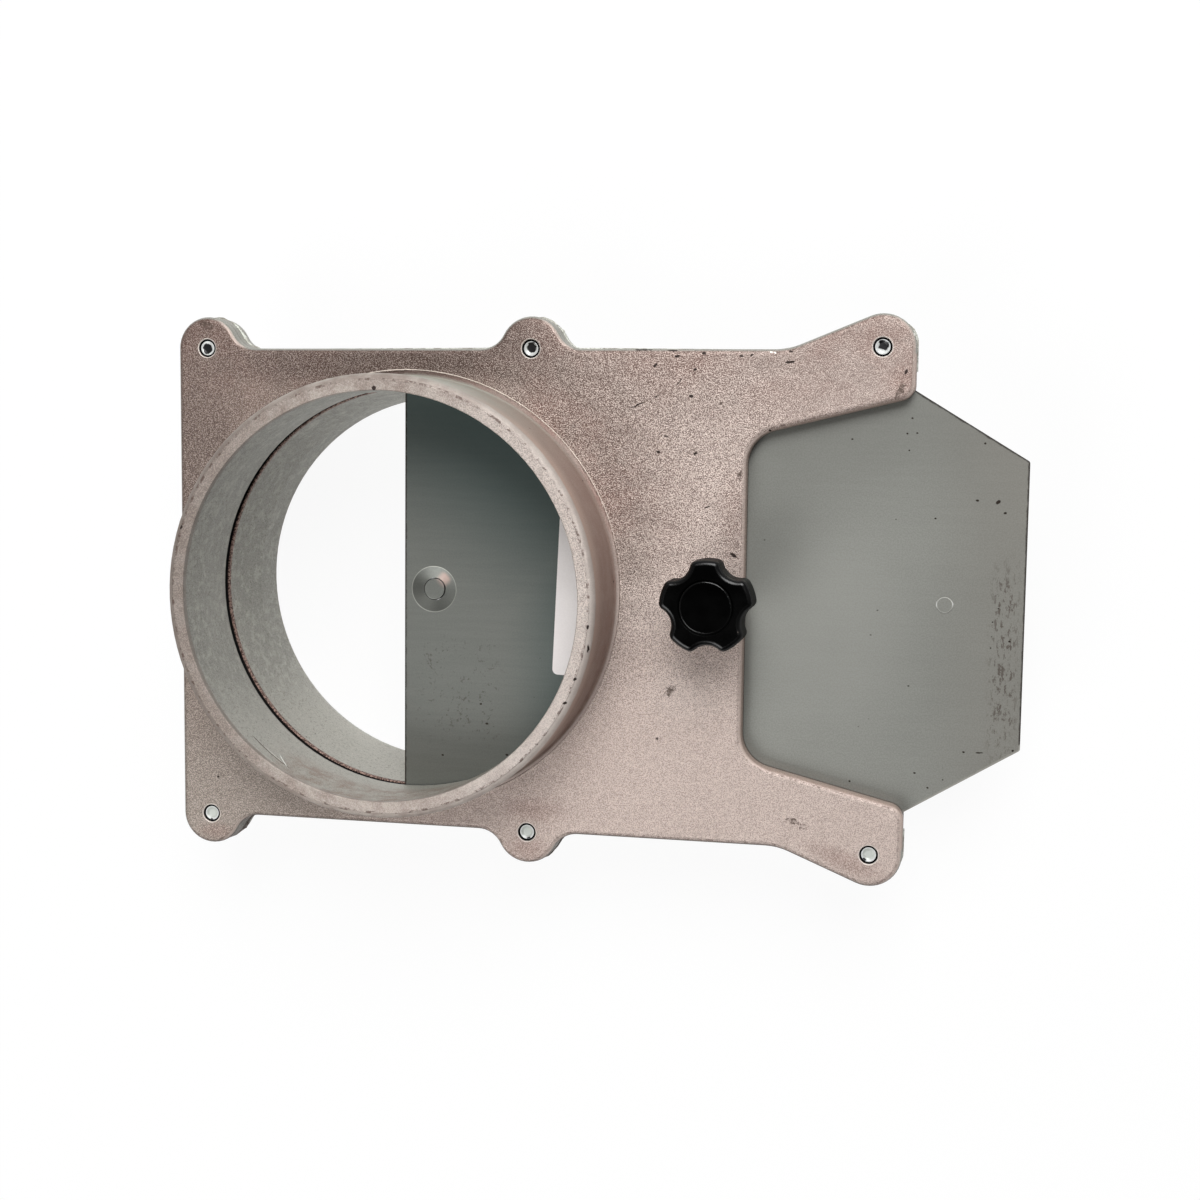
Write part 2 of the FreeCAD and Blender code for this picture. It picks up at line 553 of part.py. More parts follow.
# Fasteners.
def make_screw(number, x, y):
    """Pan-head screw put in from the rear, its tip just inside the front face."""
    body = new_body(f"body_screw_{number}")
    head = new_sketch(body, f"screw_{number}_head_circle")
    add_circle(head, "0", "0", "dims.screw_head_radius")
    extrude(body, f"screw_{number}_head", head, "dims.screw_head_height", reverse=True)
    crown = ring_edges(body, "-dims.screw_head_height", "dims.screw_head_radius")
    dress(body, f"screw_{number}_dome", crown, "dims.screw_head_dome")
    thread = new_sketch(body, f"screw_{number}_thread_circle")
    add_circle(thread, "0", "0", "dims.screw_radius")
    extrude(body, f"screw_{number}_thread", thread, SCREW_LENGTH)
    tip = ring_edges(body, SCREW_LENGTH, "dims.screw_radius")
    dress(body, f"screw_{number}_tip", tip, "dims.screw_tip_chamfer", chamfer=True)
    flat, slope, depth = "dims.screw_cup_floor", "dims.screw_cup_slope", "dims.screw_cup_depth"
    sink(body, f"screw_{number}_cup", "0", SCREW_LENGTH, flat, slope, depth)
    arm = new_sketch(body, f"screw_{number}_drive_arm", "-dims.screw_head_height")
    add_rectangle(arm, "0", "dims.drive_arm", "-dims.drive_half_width", "dims.drive_half_width")
    slot = extrude(body, f"screw_{number}_drive", arm, "dims.drive_depth", cut=True, reverse=True)
    repeat_round(body, f"screw_{number}_cross", slot, "dims.drive_arms")
    place(body, x, y, SCREW_HEAD_SEAT)


def make_washer(number, x, y):
    """Split lock washer between a screw head and the rear plate."""
    body = new_body(f"lock_washer_{number}")
    ring = new_sketch(body, f"washer_{number}_circles")
    inner = "(dims.screw_radius + dims.washer_fit)"
    outer = f"({inner} + dims.washer_width)"
    add_circle(ring, "0", "0", inner)
    add_circle(ring, "0", "0", outer)
    extrude(body, f"washer_{number}_ring", ring, "dims.washer_thickness")
    gap = new_sketch(body, f"washer_{number}_gap_outline", "dims.washer_thickness")
    past_rim = f"({outer} + dims.washer_split)"
    add_rectangle(gap, "0", past_rim, "-dims.washer_split / 2", "dims.washer_split / 2")
    extrude(body, f"washer_{number}_gap", gap, "dims.washer_thickness", cut=True)
    body.Placement.Rotation = FreeCAD.Rotation(UP, number * WASHER_TURN_DEGREES)
    place(body, x, y, SCREW_HEAD_SEAT)


# Locking knob.
def make_stud():
    """Round stud that the knob screws down on to the blade."""
    body = new_body("lock_stud")
    circle = new_sketch(body, "stud_circle")
    add_circle(circle, "0", "0", "dims.stud_radius")
    extrude(body, "stud_rod", circle, f"{STUD_REACH} + dims.stud_grip")
    dress(body, "stud_tip", ring_edges(body, "0", "dims.stud_radius"), "dims.stud_tip_chamfer", chamfer=True)
    place(body, KNOB_X, level=STUD_TIP)


def make_knob():
    """Moulded knob with finger lobes on a round hub, bored for the stud and sunk for its cap."""
    body = new_body("lock_knob")
    top = "(dims.knob_hub_height + dims.knob_height)"
    disc = new_sketch(body, "knob_circle", "dims.knob_hub_height")
    add_circle(disc, "0", "0", "dims.knob_radius")
    extrude(body, "knob_head", disc, "dims.knob_height")
    scallop = new_sketch(body, "scallop_circle", top)
    add_circle(scallop, "0", "-(dims.knob_radius + dims.scallop_out)", "dims.scallop_radius")
    cut = extrude(body, "scallop", scallop, "dims.knob_height", cut=True)
    repeat_round(body, "scallops", cut, "dims.knob_lobes")
    tip_radius = value("dims.knob_radius")

    def stands_at_tip(edge):
        box = edge.BoundBox
        slim = box.XLength < NEAR and box.YLength < NEAR
        return slim and abs(math.hypot(box.XMin, box.YMin) - tip_radius) < NEAR

    dress(body, "lobe_corners", edges_where(body, stands_at_tip), "dims.lobe_round")
    dress(body, "knob_top_edge", level_edges(body, top), "dims.knob_top_round")
    dress(body, "knob_under_edge", level_edges(body, "dims.knob_hub_height"), "dims.knob_under_round")
    hub = new_sketch(body, "knob_hub_circle", "dims.knob_hub_height")
    add_circle(hub, "0", "0", "(dims.stud_radius + dims.stud_fit + dims.knob_hub_wall)")
    extrude(body, "knob_hub", hub, "dims.knob_hub_height", reverse=True)
    bore = new_sketch(body, "knob_bore_circle")
    add_circle(bore, "0", "0", "(dims.stud_radius + dims.stud_fit)")
    extrude(body, "knob_bore", bore, "dims.stud_grip + dims.stud_end_gap", cut=True, reverse=True)
    seat = new_sketch(body, "cap_seat_circle", top)
    add_circle(seat, "0", "0", "(dims.cap_radius + dims.cap_fit)")
    extrude(body, "cap_seat", seat, "dims.cap_seat_depth", cut=True)
    seat_rim = ring_edges(body, top, "(dims.cap_radius + dims.cap_fit)")
    dress(body, "cap_seat_edge", seat_rim, "dims.cap_seat_chamfer", chamfer=True)
    body.Placement.Rotation = FreeCAD.Rotation(UP, KNOB_TURN_DEGREES)
    place(body, KNOB_X, level=KNOB_SEAT)


def make_cap():
    """Plain round cap pressed into the knob's top."""
    body = new_body("knob_cap")
    circle = new_sketch(body, "cap_circle")
    add_circle(circle, "0", "0", "dims.cap_radius")
    extrude(body, "cap_disc", circle, "dims.cap_thickness")
    dress(body, "cap_rim", ring_edges(body, "dims.cap_thickness", "dims.cap_radius"), "dims.cap_round")
    floor = f"{KNOB_SEAT} + dims.knob_hub_height + dims.knob_height - dims.cap_seat_depth"
    place(body, KNOB_X, level=floor)


make_casting("front_casting", front=True)
make_casting("rear_casting", front=False)
make_blade()
make_stop_rivet()
make_index_pin()
for number, (x, y) in enumerate(SCREW_PLACES, start=1):
    make_screw(number, x, y)
    make_washer(number, x, y)
make_stud()
make_knob()
make_cap()
doc.recompute()

# Nothing is written unless every feature is sound and every piece is one closed solid.
for item in doc.Objects:
    if {"Invalid", "Error"} & set(item.State):
        raise RuntimeError(f"{item.Name} did not build: {item.State}")
bodies = [item for item in doc.Objects if item.isDerivedFrom("PartDesign::Body")]
for body in bodies:
    if body.Shape.isNull() or not body.Shape.isValid() or len(body.Shape.Solids) != 1:
        raise RuntimeError(f"{body.Label} is not one valid solid")

os.makedirs("parts", exist_ok=True)
for body in bodies:
    body.Shape.exportStep(os.path.join("parts", f"{body.Label}.step"))
    print(f"{body.Label}: {body.Shape.Volume:.1f} mm3")
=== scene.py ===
import math

import bmesh
import bpy
from mathutils import Matrix, Vector, noise


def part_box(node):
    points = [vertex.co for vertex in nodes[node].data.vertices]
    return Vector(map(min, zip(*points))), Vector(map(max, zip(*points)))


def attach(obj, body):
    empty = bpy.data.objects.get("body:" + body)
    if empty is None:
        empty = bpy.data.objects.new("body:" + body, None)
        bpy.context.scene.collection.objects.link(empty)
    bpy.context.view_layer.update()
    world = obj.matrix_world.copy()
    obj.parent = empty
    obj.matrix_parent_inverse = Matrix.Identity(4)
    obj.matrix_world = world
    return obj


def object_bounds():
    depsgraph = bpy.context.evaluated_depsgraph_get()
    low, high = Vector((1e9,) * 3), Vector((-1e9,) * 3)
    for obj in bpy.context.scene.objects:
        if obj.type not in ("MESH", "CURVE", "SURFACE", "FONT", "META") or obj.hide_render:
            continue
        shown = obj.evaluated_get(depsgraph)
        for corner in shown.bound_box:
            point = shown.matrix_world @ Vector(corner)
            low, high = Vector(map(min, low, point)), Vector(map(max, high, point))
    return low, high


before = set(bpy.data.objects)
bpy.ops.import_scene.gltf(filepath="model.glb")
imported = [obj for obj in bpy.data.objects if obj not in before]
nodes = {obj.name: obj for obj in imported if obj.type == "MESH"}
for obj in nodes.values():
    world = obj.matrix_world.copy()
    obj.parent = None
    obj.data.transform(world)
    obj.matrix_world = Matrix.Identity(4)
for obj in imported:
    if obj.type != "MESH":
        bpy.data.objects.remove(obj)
cad_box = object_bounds()
MM = 0.001


# Camera: where the photograph was taken from

CAMERA_PLACE = Vector((0.123972, 0.035829, 0.410196))
CAMERA_YAW = 0.202034
CAMERA_PITCH = 0.095087
CAMERA_ROLL = 0.012473
FOCAL_SHARE = 1678.446 / 1200
SENSOR_WIDTH = 36.0


def make_camera():
    back = Vector((math.sin(CAMERA_YAW) * math.cos(CAMERA_PITCH),
                   math.sin(CAMERA_PITCH),
                   math.cos(CAMERA_YAW) * math.cos(CAMERA_PITCH)))
    level = Vector((math.cos(CAMERA_YAW), 0, -math.sin(CAMERA_YAW)))
    upward = back.cross(level)
    right = math.cos(CAMERA_ROLL) * level + math.sin(CAMERA_ROLL) * upward
    up = math.cos(CAMERA_ROLL) * upward - math.sin(CAMERA_ROLL) * level
    turn = Matrix((right, up, back)).transposed().to_4x4()
    data = bpy.data.cameras.new("camera")
    data.sensor_width = SENSOR_WIDTH
    data.lens = FOCAL_SHARE * SENSOR_WIDTH
    data.clip_start = 0.01
    camera = bpy.data.objects.new("camera", data)
    camera.matrix_world = Matrix.Translation(CAMERA_PLACE) @ turn
    bpy.context.scene.collection.objects.link(camera)
    bpy.context.scene.camera = camera


# Node helpers

class Graph:
    """A material's node tree, with a short call for each kind of node it uses."""

    def __init__(self, name):
        self.material = bpy.data.materials.new(name)
        self.material.use_nodes = True
        self.tree = self.material.node_tree
        self.tree.nodes.clear()
        coordinates = self.add("ShaderNodeTexCoord")
        self.place = coordinates.outputs["Object"]
        self.normal = coordinates.outputs["Normal"]

    def add(self, kind, **settings):
        node = self.tree.nodes.new(kind)
        for name, setting in settings.items():
            setattr(node, name, setting)
        return node

    def feed(self, socket, source):
        if isinstance(source, bpy.types.NodeSocket):
            self.tree.links.new(source, socket)
        elif isinstance(source, tuple) and len(source) == 3 and socket.type == "RGBA":
            socket.default_value = (*source, 1)
        else:
            socket.default_value = source

    def math(self, operation, first, second=0.0, third=0.0):
        node = self.add("ShaderNodeMath", operation=operation)
        for socket, source in zip(node.inputs, (first, second, third)):
            self.feed(socket, source)
        return node.outputs[0]

    def vector(self, operation, first, second=(0.0, 0.0, 0.0)):
        node = self.add("ShaderNodeVectorMath", operation=operation)
        self.feed(node.inputs[0], first)
        self.feed(node.inputs[1], second)
        return node.outputs["Value" if operation in ("LENGTH", "DOT_PRODUCT") else "Vector"]

    def split(self, source):
        node = self.add("ShaderNodeSeparateXYZ")
        self.feed(node.inputs[0], source)
        return node.outputs[0], node.outputs[1], node.outputs[2]

    def stretched(self, scale):
        node = self.add("ShaderNodeMapping")
        self.feed(node.inputs["Vector"], self.place)
        node.inputs["Scale"].default_value = scale
        return node.outputs[0]

    def noise(self, scale, detail=2.0, roughness=0.5, place=None):
        node = self.add("ShaderNodeTexNoise")
        self.feed(node.inputs["Vector"], place or self.place)
        node.inputs["Scale"].default_value = scale
        node.inputs["Detail"].default_value = detail
        node.inputs["Roughness"].default_value = roughness
        return node.outputs[0]

    def shaken(self, scale, reach):
        """The place, moved a little each way, which makes a round mask ragged."""
        node = self.add("ShaderNodeTexNoise")
        self.feed(node.inputs["Vector"], self.place)
        node.inputs["Scale"].default_value = scale
        node.inputs["Detail"].default_value = 3.0
        drift = self.vector("SUBTRACT", node.outputs["Color"], (0.5, 0.5, 0.5))
        return self.vector("ADD", self.place, self.vector("MULTIPLY", drift, (reach, reach, reach)))

    def marks(self, places, ragged=0.0006, outside=1.2, within=0.8):
        """1 on small marks, each given in mm as x, y, half length, half width and turn in degrees."""
        place = self.shaken(1300, ragged)
        nearest = None
        for x, y, half_length, half_width, turn in places:
            node = self.add("ShaderNodeMapping", vector_type="TEXTURE")
            self.feed(node.inputs["Vector"], place)
            node.inputs["Location"].default_value = (x * MM, y * MM, 0)
            node.inputs["Rotation"].default_value = (0, 0, math.radians(turn))
            node.inputs["Scale"].default_value = (half_length * MM, half_width * MM, 1)
            far = self.vector("LENGTH", node.outputs[0])
            nearest = far if nearest is None else self.math("MINIMUM", nearest, far)
        return self.ease(nearest, outside, within)

    def band(self, source, low, high, soft):
        """1 where source lies between low and high, with soft ends."""
        rising = self.ease(source, low - soft, low + soft)
        return self.math("MULTIPLY", rising, self.ease(source, high + soft, high - soft))

    def from_point(self, x, y, place=None):
        """How far the place is, in plan, from a point given in mm."""
        flat = self.vector("MULTIPLY", place or self.place, (1, 1, 0))
        return self.vector("LENGTH", self.vector("SUBTRACT", flat, (x * MM, y * MM, 0)))

    def cells(self, scale):
        """How far the place is from the nearest of many scattered points."""
        node = self.add("ShaderNodeTexVoronoi")
        self.feed(node.inputs["Vector"], self.place)
        node.inputs["Scale"].default_value = scale
        return node.outputs["Distance"]

    def ease(self, source, low, high, to_low=0.0, to_high=1.0):
        """A soft step from to_low, where source is low, to to_high, where it is high."""
        node = self.add("ShaderNodeMapRange", interpolation_type="SMOOTHSTEP")
        for name, number in (("Value", source), ("From Min", low), ("From Max", high),
                             ("To Min", to_low), ("To Max", to_high)):
            self.feed(node.inputs[name], number)
        return node.outputs[0]

    def mix(self, share, first, second):
        node = self.add("ShaderNodeMix", data_type="RGBA")
        self.feed(node.inputs["Factor"], share)
        self.feed(node.inputs[6], first)
        self.feed(node.inputs[7], second)
        return node.outputs[2]

    def bump(self, height, depth, under=None):
        node = self.add("ShaderNodeBump")
        self.feed(node.inputs["Height"], height)
        node.inputs["Distance"].default_value = depth
        if under is not None:
            self.feed(node.inputs["Normal"], under)
        return node.outputs[0]

    def surface(self, color, roughness, metallic, normal):
        shader = self.add("ShaderNodeBsdfPrincipled")
        self.feed(shader.inputs["Base Color"], color)
        self.feed(shader.inputs["Roughness"], roughness)
        self.feed(shader.inputs["Metallic"], metallic)
        self.feed(shader.inputs["Normal"], normal)
        out = self.add("ShaderNodeOutputMaterial")
        self.tree.links.new(shader.outputs[0], out.inputs[0])
        return shader


def linear(red, green, blue):
    """A colour as the eye counts it, 0 to 255, as the shader counts it."""
    shares = (red / 255, green / 255, blue / 255)
    return tuple(s / 12.92 if s < 0.04045 else ((s + 0.055) / 1.055) ** 2.4 for s in shares)


# Materials

# Heights: the front plate's face and middle, the castings' joint, the slot's top, the mould line, the rim.
FRONT_FACE = 0.0325
PLATE_MIDDLE = 0.0295
PARTING = 0.0265
SLOT_TOP = 0.02855
MOULD_LINE = 0.02948
FRONT_RIM = 0.0550
# In plan: the collar's outside and the root of its outer side, the slot's side and end, the notch's floor.
COLLAR_RADIUS = 0.0500
COLLAR_ROOT = 0.0515
SLOT_HALF_WIDTH = 0.0525
SLOT_END = -0.0533
NOTCH_LEFT = 0.0780

# Chips, burrs and dirt, and patches of tone, painted shadow and painted light, in mm: x, y, half length,
# half width, turn in degrees.
PLATE_MARKS = [
    (63.7, 54.8, 0.50, 0.25, 20), (58.7, 52.8, 0.45, 0.25, 60), (78.2, 54.9, 0.35, 0.20, 0),
    (69.8, 55.5, 0.40, 0.25, 0), (80.6, 55.1, 0.40, 0.20, 10), (89.3, 56.0, 0.40, 0.20, 0),
    (89.1, 53.6, 0.90, 0.22, 5), (67.8, 51.9, 0.35, 0.25, 40), (67.0, 45.9, 0.45, 0.30, 0),
    (59.7, 33.2, 0.35, 0.25, 0), (68.2, 33.1, 0.35, 0.25, 30), (64.4, 49.2, 1.10, 0.10, 50),
    (59.0, 45.8, 0.60, 0.14, 25), (54.7, 43.8, 1.50, 0.12, 25), (61.4, 36.8, 0.50, 0.15, 0),
    (71.1, 20.9, 0.50, 0.16, 20), (85.0, 38.4, 0.30, 0.20, 0), (77.3, 10.2, 0.75, 0.32, -28),
    (56.0, 56.3, 1.60, 0.18, 0), (62.5, 56.1, 1.00, 0.14, 0), (114.6, 51.6, 0.50, 0.25, 70),
]
PLATE_SMUDGES = [
    (63.3, -21.4, 1.60, 0.90, 40), (92.0, -50.2, 1.50, 0.60, -20), (94.3, -51.4, 0.90, 0.50, 0),
    (78.5, 28.3, 1.40, 0.35, 80), (113.5, 47.5, 1.60, 0.80, 60), (-50.2, 62.0, 1.80, 0.90, -20),
    (73.9, 44.4, 0.50, 0.30, 0),
]
BROWN_TONE_AND_PAINTED_SHADOW = [
    (104.0, -58.8, 9.00, 2.40, -22), (113.8, 50.0, 3.20, 2.60, 60), (66.0, 53.8, 8.00, 2.60, 0),
    (77.0, 19.0, 9.00, 3.40, 90), (31.0, -51.0, 7.00, 3.00, 0), (29.6, -60.5, 5.00, 3.00, 0),
    (-48.5, -61.0, 5.00, 2.00, 0),
]
PAINTED_LIGHT_PATCHES = [
    (58.0, -3.0, 9.00, 9.00, 0), (67.0, -20.0, 9.00, 8.00, 0),
]
BRIGHT_CHIPS = [
    (84.8, 55.8, 0.35, 0.18, 0), (85.7, 55.7, 0.30, 0.16, 0), (80.3, 29.4, 0.35, 0.25, 0),
    (116.2, 60.0, 0.40, 0.20, 60),
]
RIM_MARKS = [
    (48.6, -4.8, 0.50, 0.22, 80), (48.6, -9.5, 0.90, 0.20, 84), (45.8, -16.3, 0.45, 0.30, 30),
    (43.6, -21.7, 0.45, 0.25, 20), (-0.3, 46.6, 0.50, 0.50, 0), (-46.4, 14.8, 0.55, 0.30, 60),
]
BLADE_MARKS = [
    (116.2, 41.5, 0.25, 0.20, 0), (115.2, 38.1, 0.25, 0.18, 0), (117.4, 38.2, 0.22, 0.18, 0),
    (115.7, 34.4, 0.22, 0.18, 0), (103.1, 36.7, 0.30, 0.20, 0), (132.2, 36.1, 0.25, 0.20, 0),
    (130.9, 23.5, 0.35, 0.25, 0), (135.4, 23.2, 0.60, 0.40, 40), (137.0, 20.8, 0.35, 0.25, 0),
    (121.9, 19.3, 0.25, 0.20, 0), (138.9, -7.7, 0.30, 0.20, 0), (119.0, -38.4, 0.30, 0.20, 0),
    (122.0, -41.7, 0.25, 0.20, 0), (129.7, -33.1, 0.30, 0.20, 0), (133.2, -33.1, 0.80, 0.16, 0),
    (140.4, -32.3, 0.30, 0.25, 0), (109.7, -1.7, 0.25, 0.18, 0), (108.3, -7.3, 0.22, 0.18, 0),
    (117.1, -18.6, 0.25, 0.18, 0), (104.5, -41.1, 0.25, 0.20, 0), (7.7, -39.9, 0.30, 0.22, 0),
    (18.6, -31.8, 0.35, 0.25, 0), (17.1, -27.1, 0.30, 0.22, 0), (23.6, -39.1, 0.35, 0.25, 0),
]
BLADE_PAINTED_LIGHT = [
    (98.0, -6.0, 24.00, 26.00, 0),
]
# Lines on the bore's wall under the front rim, in mm: x from and to, z from and to, half width, colour.
BORE_LINES = [
    (-31.5, -22.4, 49.6, 50.7, 0.18, (92, 80, 72)), (-28.6, -24.4, 49.3, 50.0, 0.12, (220, 218, 210)),
    (-25.8, -22.9, 47.6, 50.8, 0.18, (246, 248, 242)),
]
RIVET_PLACE = (5.4, 0.0)
PIN_PLACE = (124.5, 0.0)
# The blade's straight ends along x, and its slanting edges as along * x + across * |y| = out, in mm.
BLADE_ENDS = (-1.8, 142.0)
BLADE_SLANT = (0.5212, 0.8534, 101.49)
# Where the castings' grain is coarsest, in mm.
GRAIN_MIDDLE = (56.0, 22.0)
# The upper screws, in mm; the lower ones lie as far below the middle.
SCREW_PLACES = [(-50.0, 56.5), (29.65, 56.5), (109.4, 57.0)]


def cast_aluminium(name):
    g = Graph(name)
    x, y, z = g.split(g.place)
    nx, ny, nz = g.split(g.normal)
    level = g.math("ABSOLUTE", nz)
    radius = g.math("SQRT", g.math("ADD", g.math("MULTIPLY", x, x), g.math("MULTIPLY", y, y)))
    facing = g.ease(level, 0.62, 0.88)
    outside = g.ease(radius, COLLAR_ROOT, COLLAR_ROOT + 0.0005)
    inside = g.ease(radius, COLLAR_RADIUS - 0.0018, COLLAR_RADIUS - 0.0024)
    turned = g.math("MULTIPLY", g.band(radius, COLLAR_RADIUS - 0.0016, COLLAR_ROOT + 0.00005, 0.0001),
                    g.ease(g.math("ABSOLUTE", g.math("SUBTRACT", z, PLATE_MIDDLE)), 0.0028, 0.0031))
    turned = g.math("MULTIPLY", turned, g.ease(level, 0.995, 0.97))
    rough_part = g.math("SUBTRACT", 1.0, turned)

    # The plate's face: painted light and shade, darker at the upper left and paler at the lower right,
    # greyer at the lower left, with painted shade above and beside the collar
    drift = g.math("MULTIPLY_ADD", x, 6.5, 0.34)
    drift = g.math("MULTIPLY_ADD", y, -3.2, drift)
    drift = g.math("MULTIPLY_ADD", g.noise(28, 3), 0.5, g.math("SUBTRACT", drift, 0.25))
    painted_light_share = g.ease(drift, 0.0, 1.0)
    face = g.mix(painted_light_share, linear(132, 117, 108), linear(194, 178, 170))
    grey = g.math("MULTIPLY", g.ease(y, -0.010, -0.050), g.ease(x, 0.010, -0.040))
    face = g.mix(g.math("MULTIPLY", grey, 0.7), face, linear(143, 137, 128))
    warm = g.math("MULTIPLY", g.ease(radius, 0.078, 0.052), g.ease(y, 0.002, 0.024))
    warm = g.math("MULTIPLY", warm, g.ease(x, -0.030, 0.020))
    warm = g.math("MAXIMUM", warm, g.ease(y, 0.030, 0.062, 0.0, 0.85))
    warm = g.math("MULTIPLY", warm, g.ease(g.noise(110, 3, 0.6), 0.30, 0.66, 0.15, 1.0))
    face = g.mix(g.math("MULTIPLY", warm, 0.6), face, linear(142, 102, 91))
    # Painted shade toward the top, above the collar and beside it, less at the top left corner
    painted_shade_top = g.ease(y, 0.020, 0.056, 0.0, 0.26)
    above_collar = g.math("MULTIPLY", g.ease(y, 0.046, 0.052, 0.0, 0.54), g.ease(x, 0.050, 0.010))
    beside_collar = g.math("MULTIPLY", g.ease(x, -0.036, -0.050, 0.0, 0.55), g.ease(y, -0.030, 0.010))
    painted_shade_top = g.math("ADD", painted_shade_top, g.math("MAXIMUM", above_collar, beside_collar))
    painted_shade_top = g.math("MULTIPLY", painted_shade_top, g.ease(g.from_point(-52.0, 54.0), 0.006, 0.022, 0.68, 1.0))
    face = g.mix(painted_shade_top, face, linear(58, 40, 34))
    # Brown patches of tone, one a painted shadow of the knob toward the notch; then pale patches of
    # painted light
    tone_and_painted_light_patch = g.marks(BROWN_TONE_AND_PAINTED_SHADOW, 0.0030, 1.5, 0.2)
    face = g.mix(g.math("MULTIPLY", tone_and_painted_light_patch, 0.45), face, linear(128, 98, 88))
    tone_and_painted_light_patch = g.marks(PAINTED_LIGHT_PATCHES, 0.0030, 1.5, 0.2)
    face = g.mix(g.math("MULTIPLY", tone_and_painted_light_patch, 0.40), face, linear(226, 212, 204))

    # The walls: painted light where they face up, chalky inside the bore, stained at its foot, painted
    # shade where they face down and at the foot of the notch
    wall = g.mix(g.noise(70, 3), linear(136, 137, 130), linear(160, 160, 152))
    painted_light_facing_up = g.ease(ny, 0.35, 0.95, 0.0, 0.6)
    painted_light_facing_up = g.math("MULTIPLY", painted_light_facing_up, g.math("MULTIPLY_ADD", inside, 0.8, 0.2))
    wall = g.mix(painted_light_facing_up, wall, linear(206, 204, 195))
    chalk = g.math("MULTIPLY", inside, g.ease(g.noise(420, 5, 0.75), 0.46, 0.64, 0.0, 0.7))
    wall = g.mix(chalk, wall, linear(182, 182, 173))
    chalk = g.math("MULTIPLY", inside, g.ease(g.noise(1500, 3, 0.7), 0.52, 0.66, 0.0, 0.45))
    wall = g.mix(chalk, wall, linear(100, 94, 85))
    stain = g.math("MULTIPLY", inside, g.ease(y, -0.034, -0.043))
    stain = g.math("MULTIPLY", stain, g.ease(z, 0.034, 0.043))
    stain = g.math("MULTIPLY", stain, g.ease(g.noise(240, 4, 0.7), 0.34, 0.66, 0.1, 0.75))
    wall = g.mix(stain, wall, linear(142, 120, 106))
    painted_shade_facing_down = g.math("MULTIPLY", g.ease(ny, -0.25, -0.75, 0.0, 0.8), g.ease(y, -0.0540, -0.0560))
    wall = g.mix(painted_shade_facing_down, wall, linear(74, 58, 51))
    in_notch = g.math("MULTIPLY", g.ease(x, NOTCH_LEFT - 0.0010, NOTCH_LEFT),
                      g.ease(g.math("ABSOLUTE", y), 0.0560, 0.0550))
    wall = g.mix(in_notch, wall, linear(176, 156, 146))
    # Painted shade at the foot of the notch's wall
    painted_shade_at_notch_foot = g.math("MULTIPLY", in_notch, g.ease(z, FRONT_FACE - 0.0024, FRONT_FACE - 0.0032, 0.0, 0.85))
    wall = g.mix(painted_shade_at_notch_foot, wall, linear(48, 40, 36))

    # The collar's turned outside and its rim: painted light and shade on the side by which way it faces, a
    # painted highlight under the rim facing +x, and the rim's tone painted paler to the right and darker
    # to the left
    painted_light_upper = g.ease(ny, -0.1, 0.9)
    right = g.ease(nx, 0.2, 0.9)
    side_with_painted_light = g.mix(painted_light_upper, linear(112, 98, 90), linear(170, 172, 162))
    side_with_painted_light = g.mix(g.math("MULTIPLY", right, 0.8), side_with_painted_light, linear(164, 138, 128))
    painted_highlight_under_rim = g.math("MULTIPLY", g.ease(z, 0.0450, 0.0535, 0.0, 0.55), right)
    side_with_painted_light = g.mix(painted_highlight_under_rim, side_with_painted_light, linear(214, 190, 176))
    on_rim = g.ease(z, FRONT_RIM - 0.0016, FRONT_RIM - 0.0013)
    rim_tone_and_painted_light = g.mix(g.ease(g.noise(260, 4, 0.65), 0.35, 0.65),
                     linear(150, 138, 130), linear(180, 171, 163))
    rim_tone_and_painted_light = g.mix(g.ease(x, 0.0, 0.04, 0.0, 0.5), rim_tone_and_painted_light, linear(212, 204, 198))
    rim_tone_and_painted_light = g.mix(g.ease(x, -0.010, -0.045, 0.0, 0.55), rim_tone_and_painted_light, linear(112, 103, 96))
    side_with_painted_light = g.mix(g.math("MULTIPLY", turned, g.ease(g.noise(210, 4, 0.7), 0.36, 0.64, 0.0, 0.35)),
                 side_with_painted_light, linear(176, 160, 150))
    color = g.mix(facing, g.mix(turned, wall, side_with_painted_light), face)
    color = g.mix(g.math("MULTIPLY", on_rim, 0.85), color, rim_tone_and_painted_light)

    # Sand grain
    grain = g.noise(4500, 1, 0.6)
    strength = g.ease(g.from_point(*GRAIN_MIDDLE), 0.060, 0.015, 0.50, 1.1)
    strength = g.math("MULTIPLY", strength, g.ease(facing, 0.0, 1.0, 0.4, 1.0))
    strength = g.math("MULTIPLY", strength, g.math("MULTIPLY_ADD", turned, -0.85, 1.0))
    strength = g.math("MULTIPLY", strength, g.math("MULTIPLY_ADD", on_rim, -0.55, 1.0))
    light = g.math("MULTIPLY", g.ease(grain, 0.50, 0.60, 0.0, 0.75), strength)
    dark = g.math("MULTIPLY", g.ease(grain, 0.50, 0.38, 0.0, 0.75), strength)
    color = g.mix(light, color, linear(230, 213, 203))
    color = g.mix(dark, color, linear(88, 69, 62))

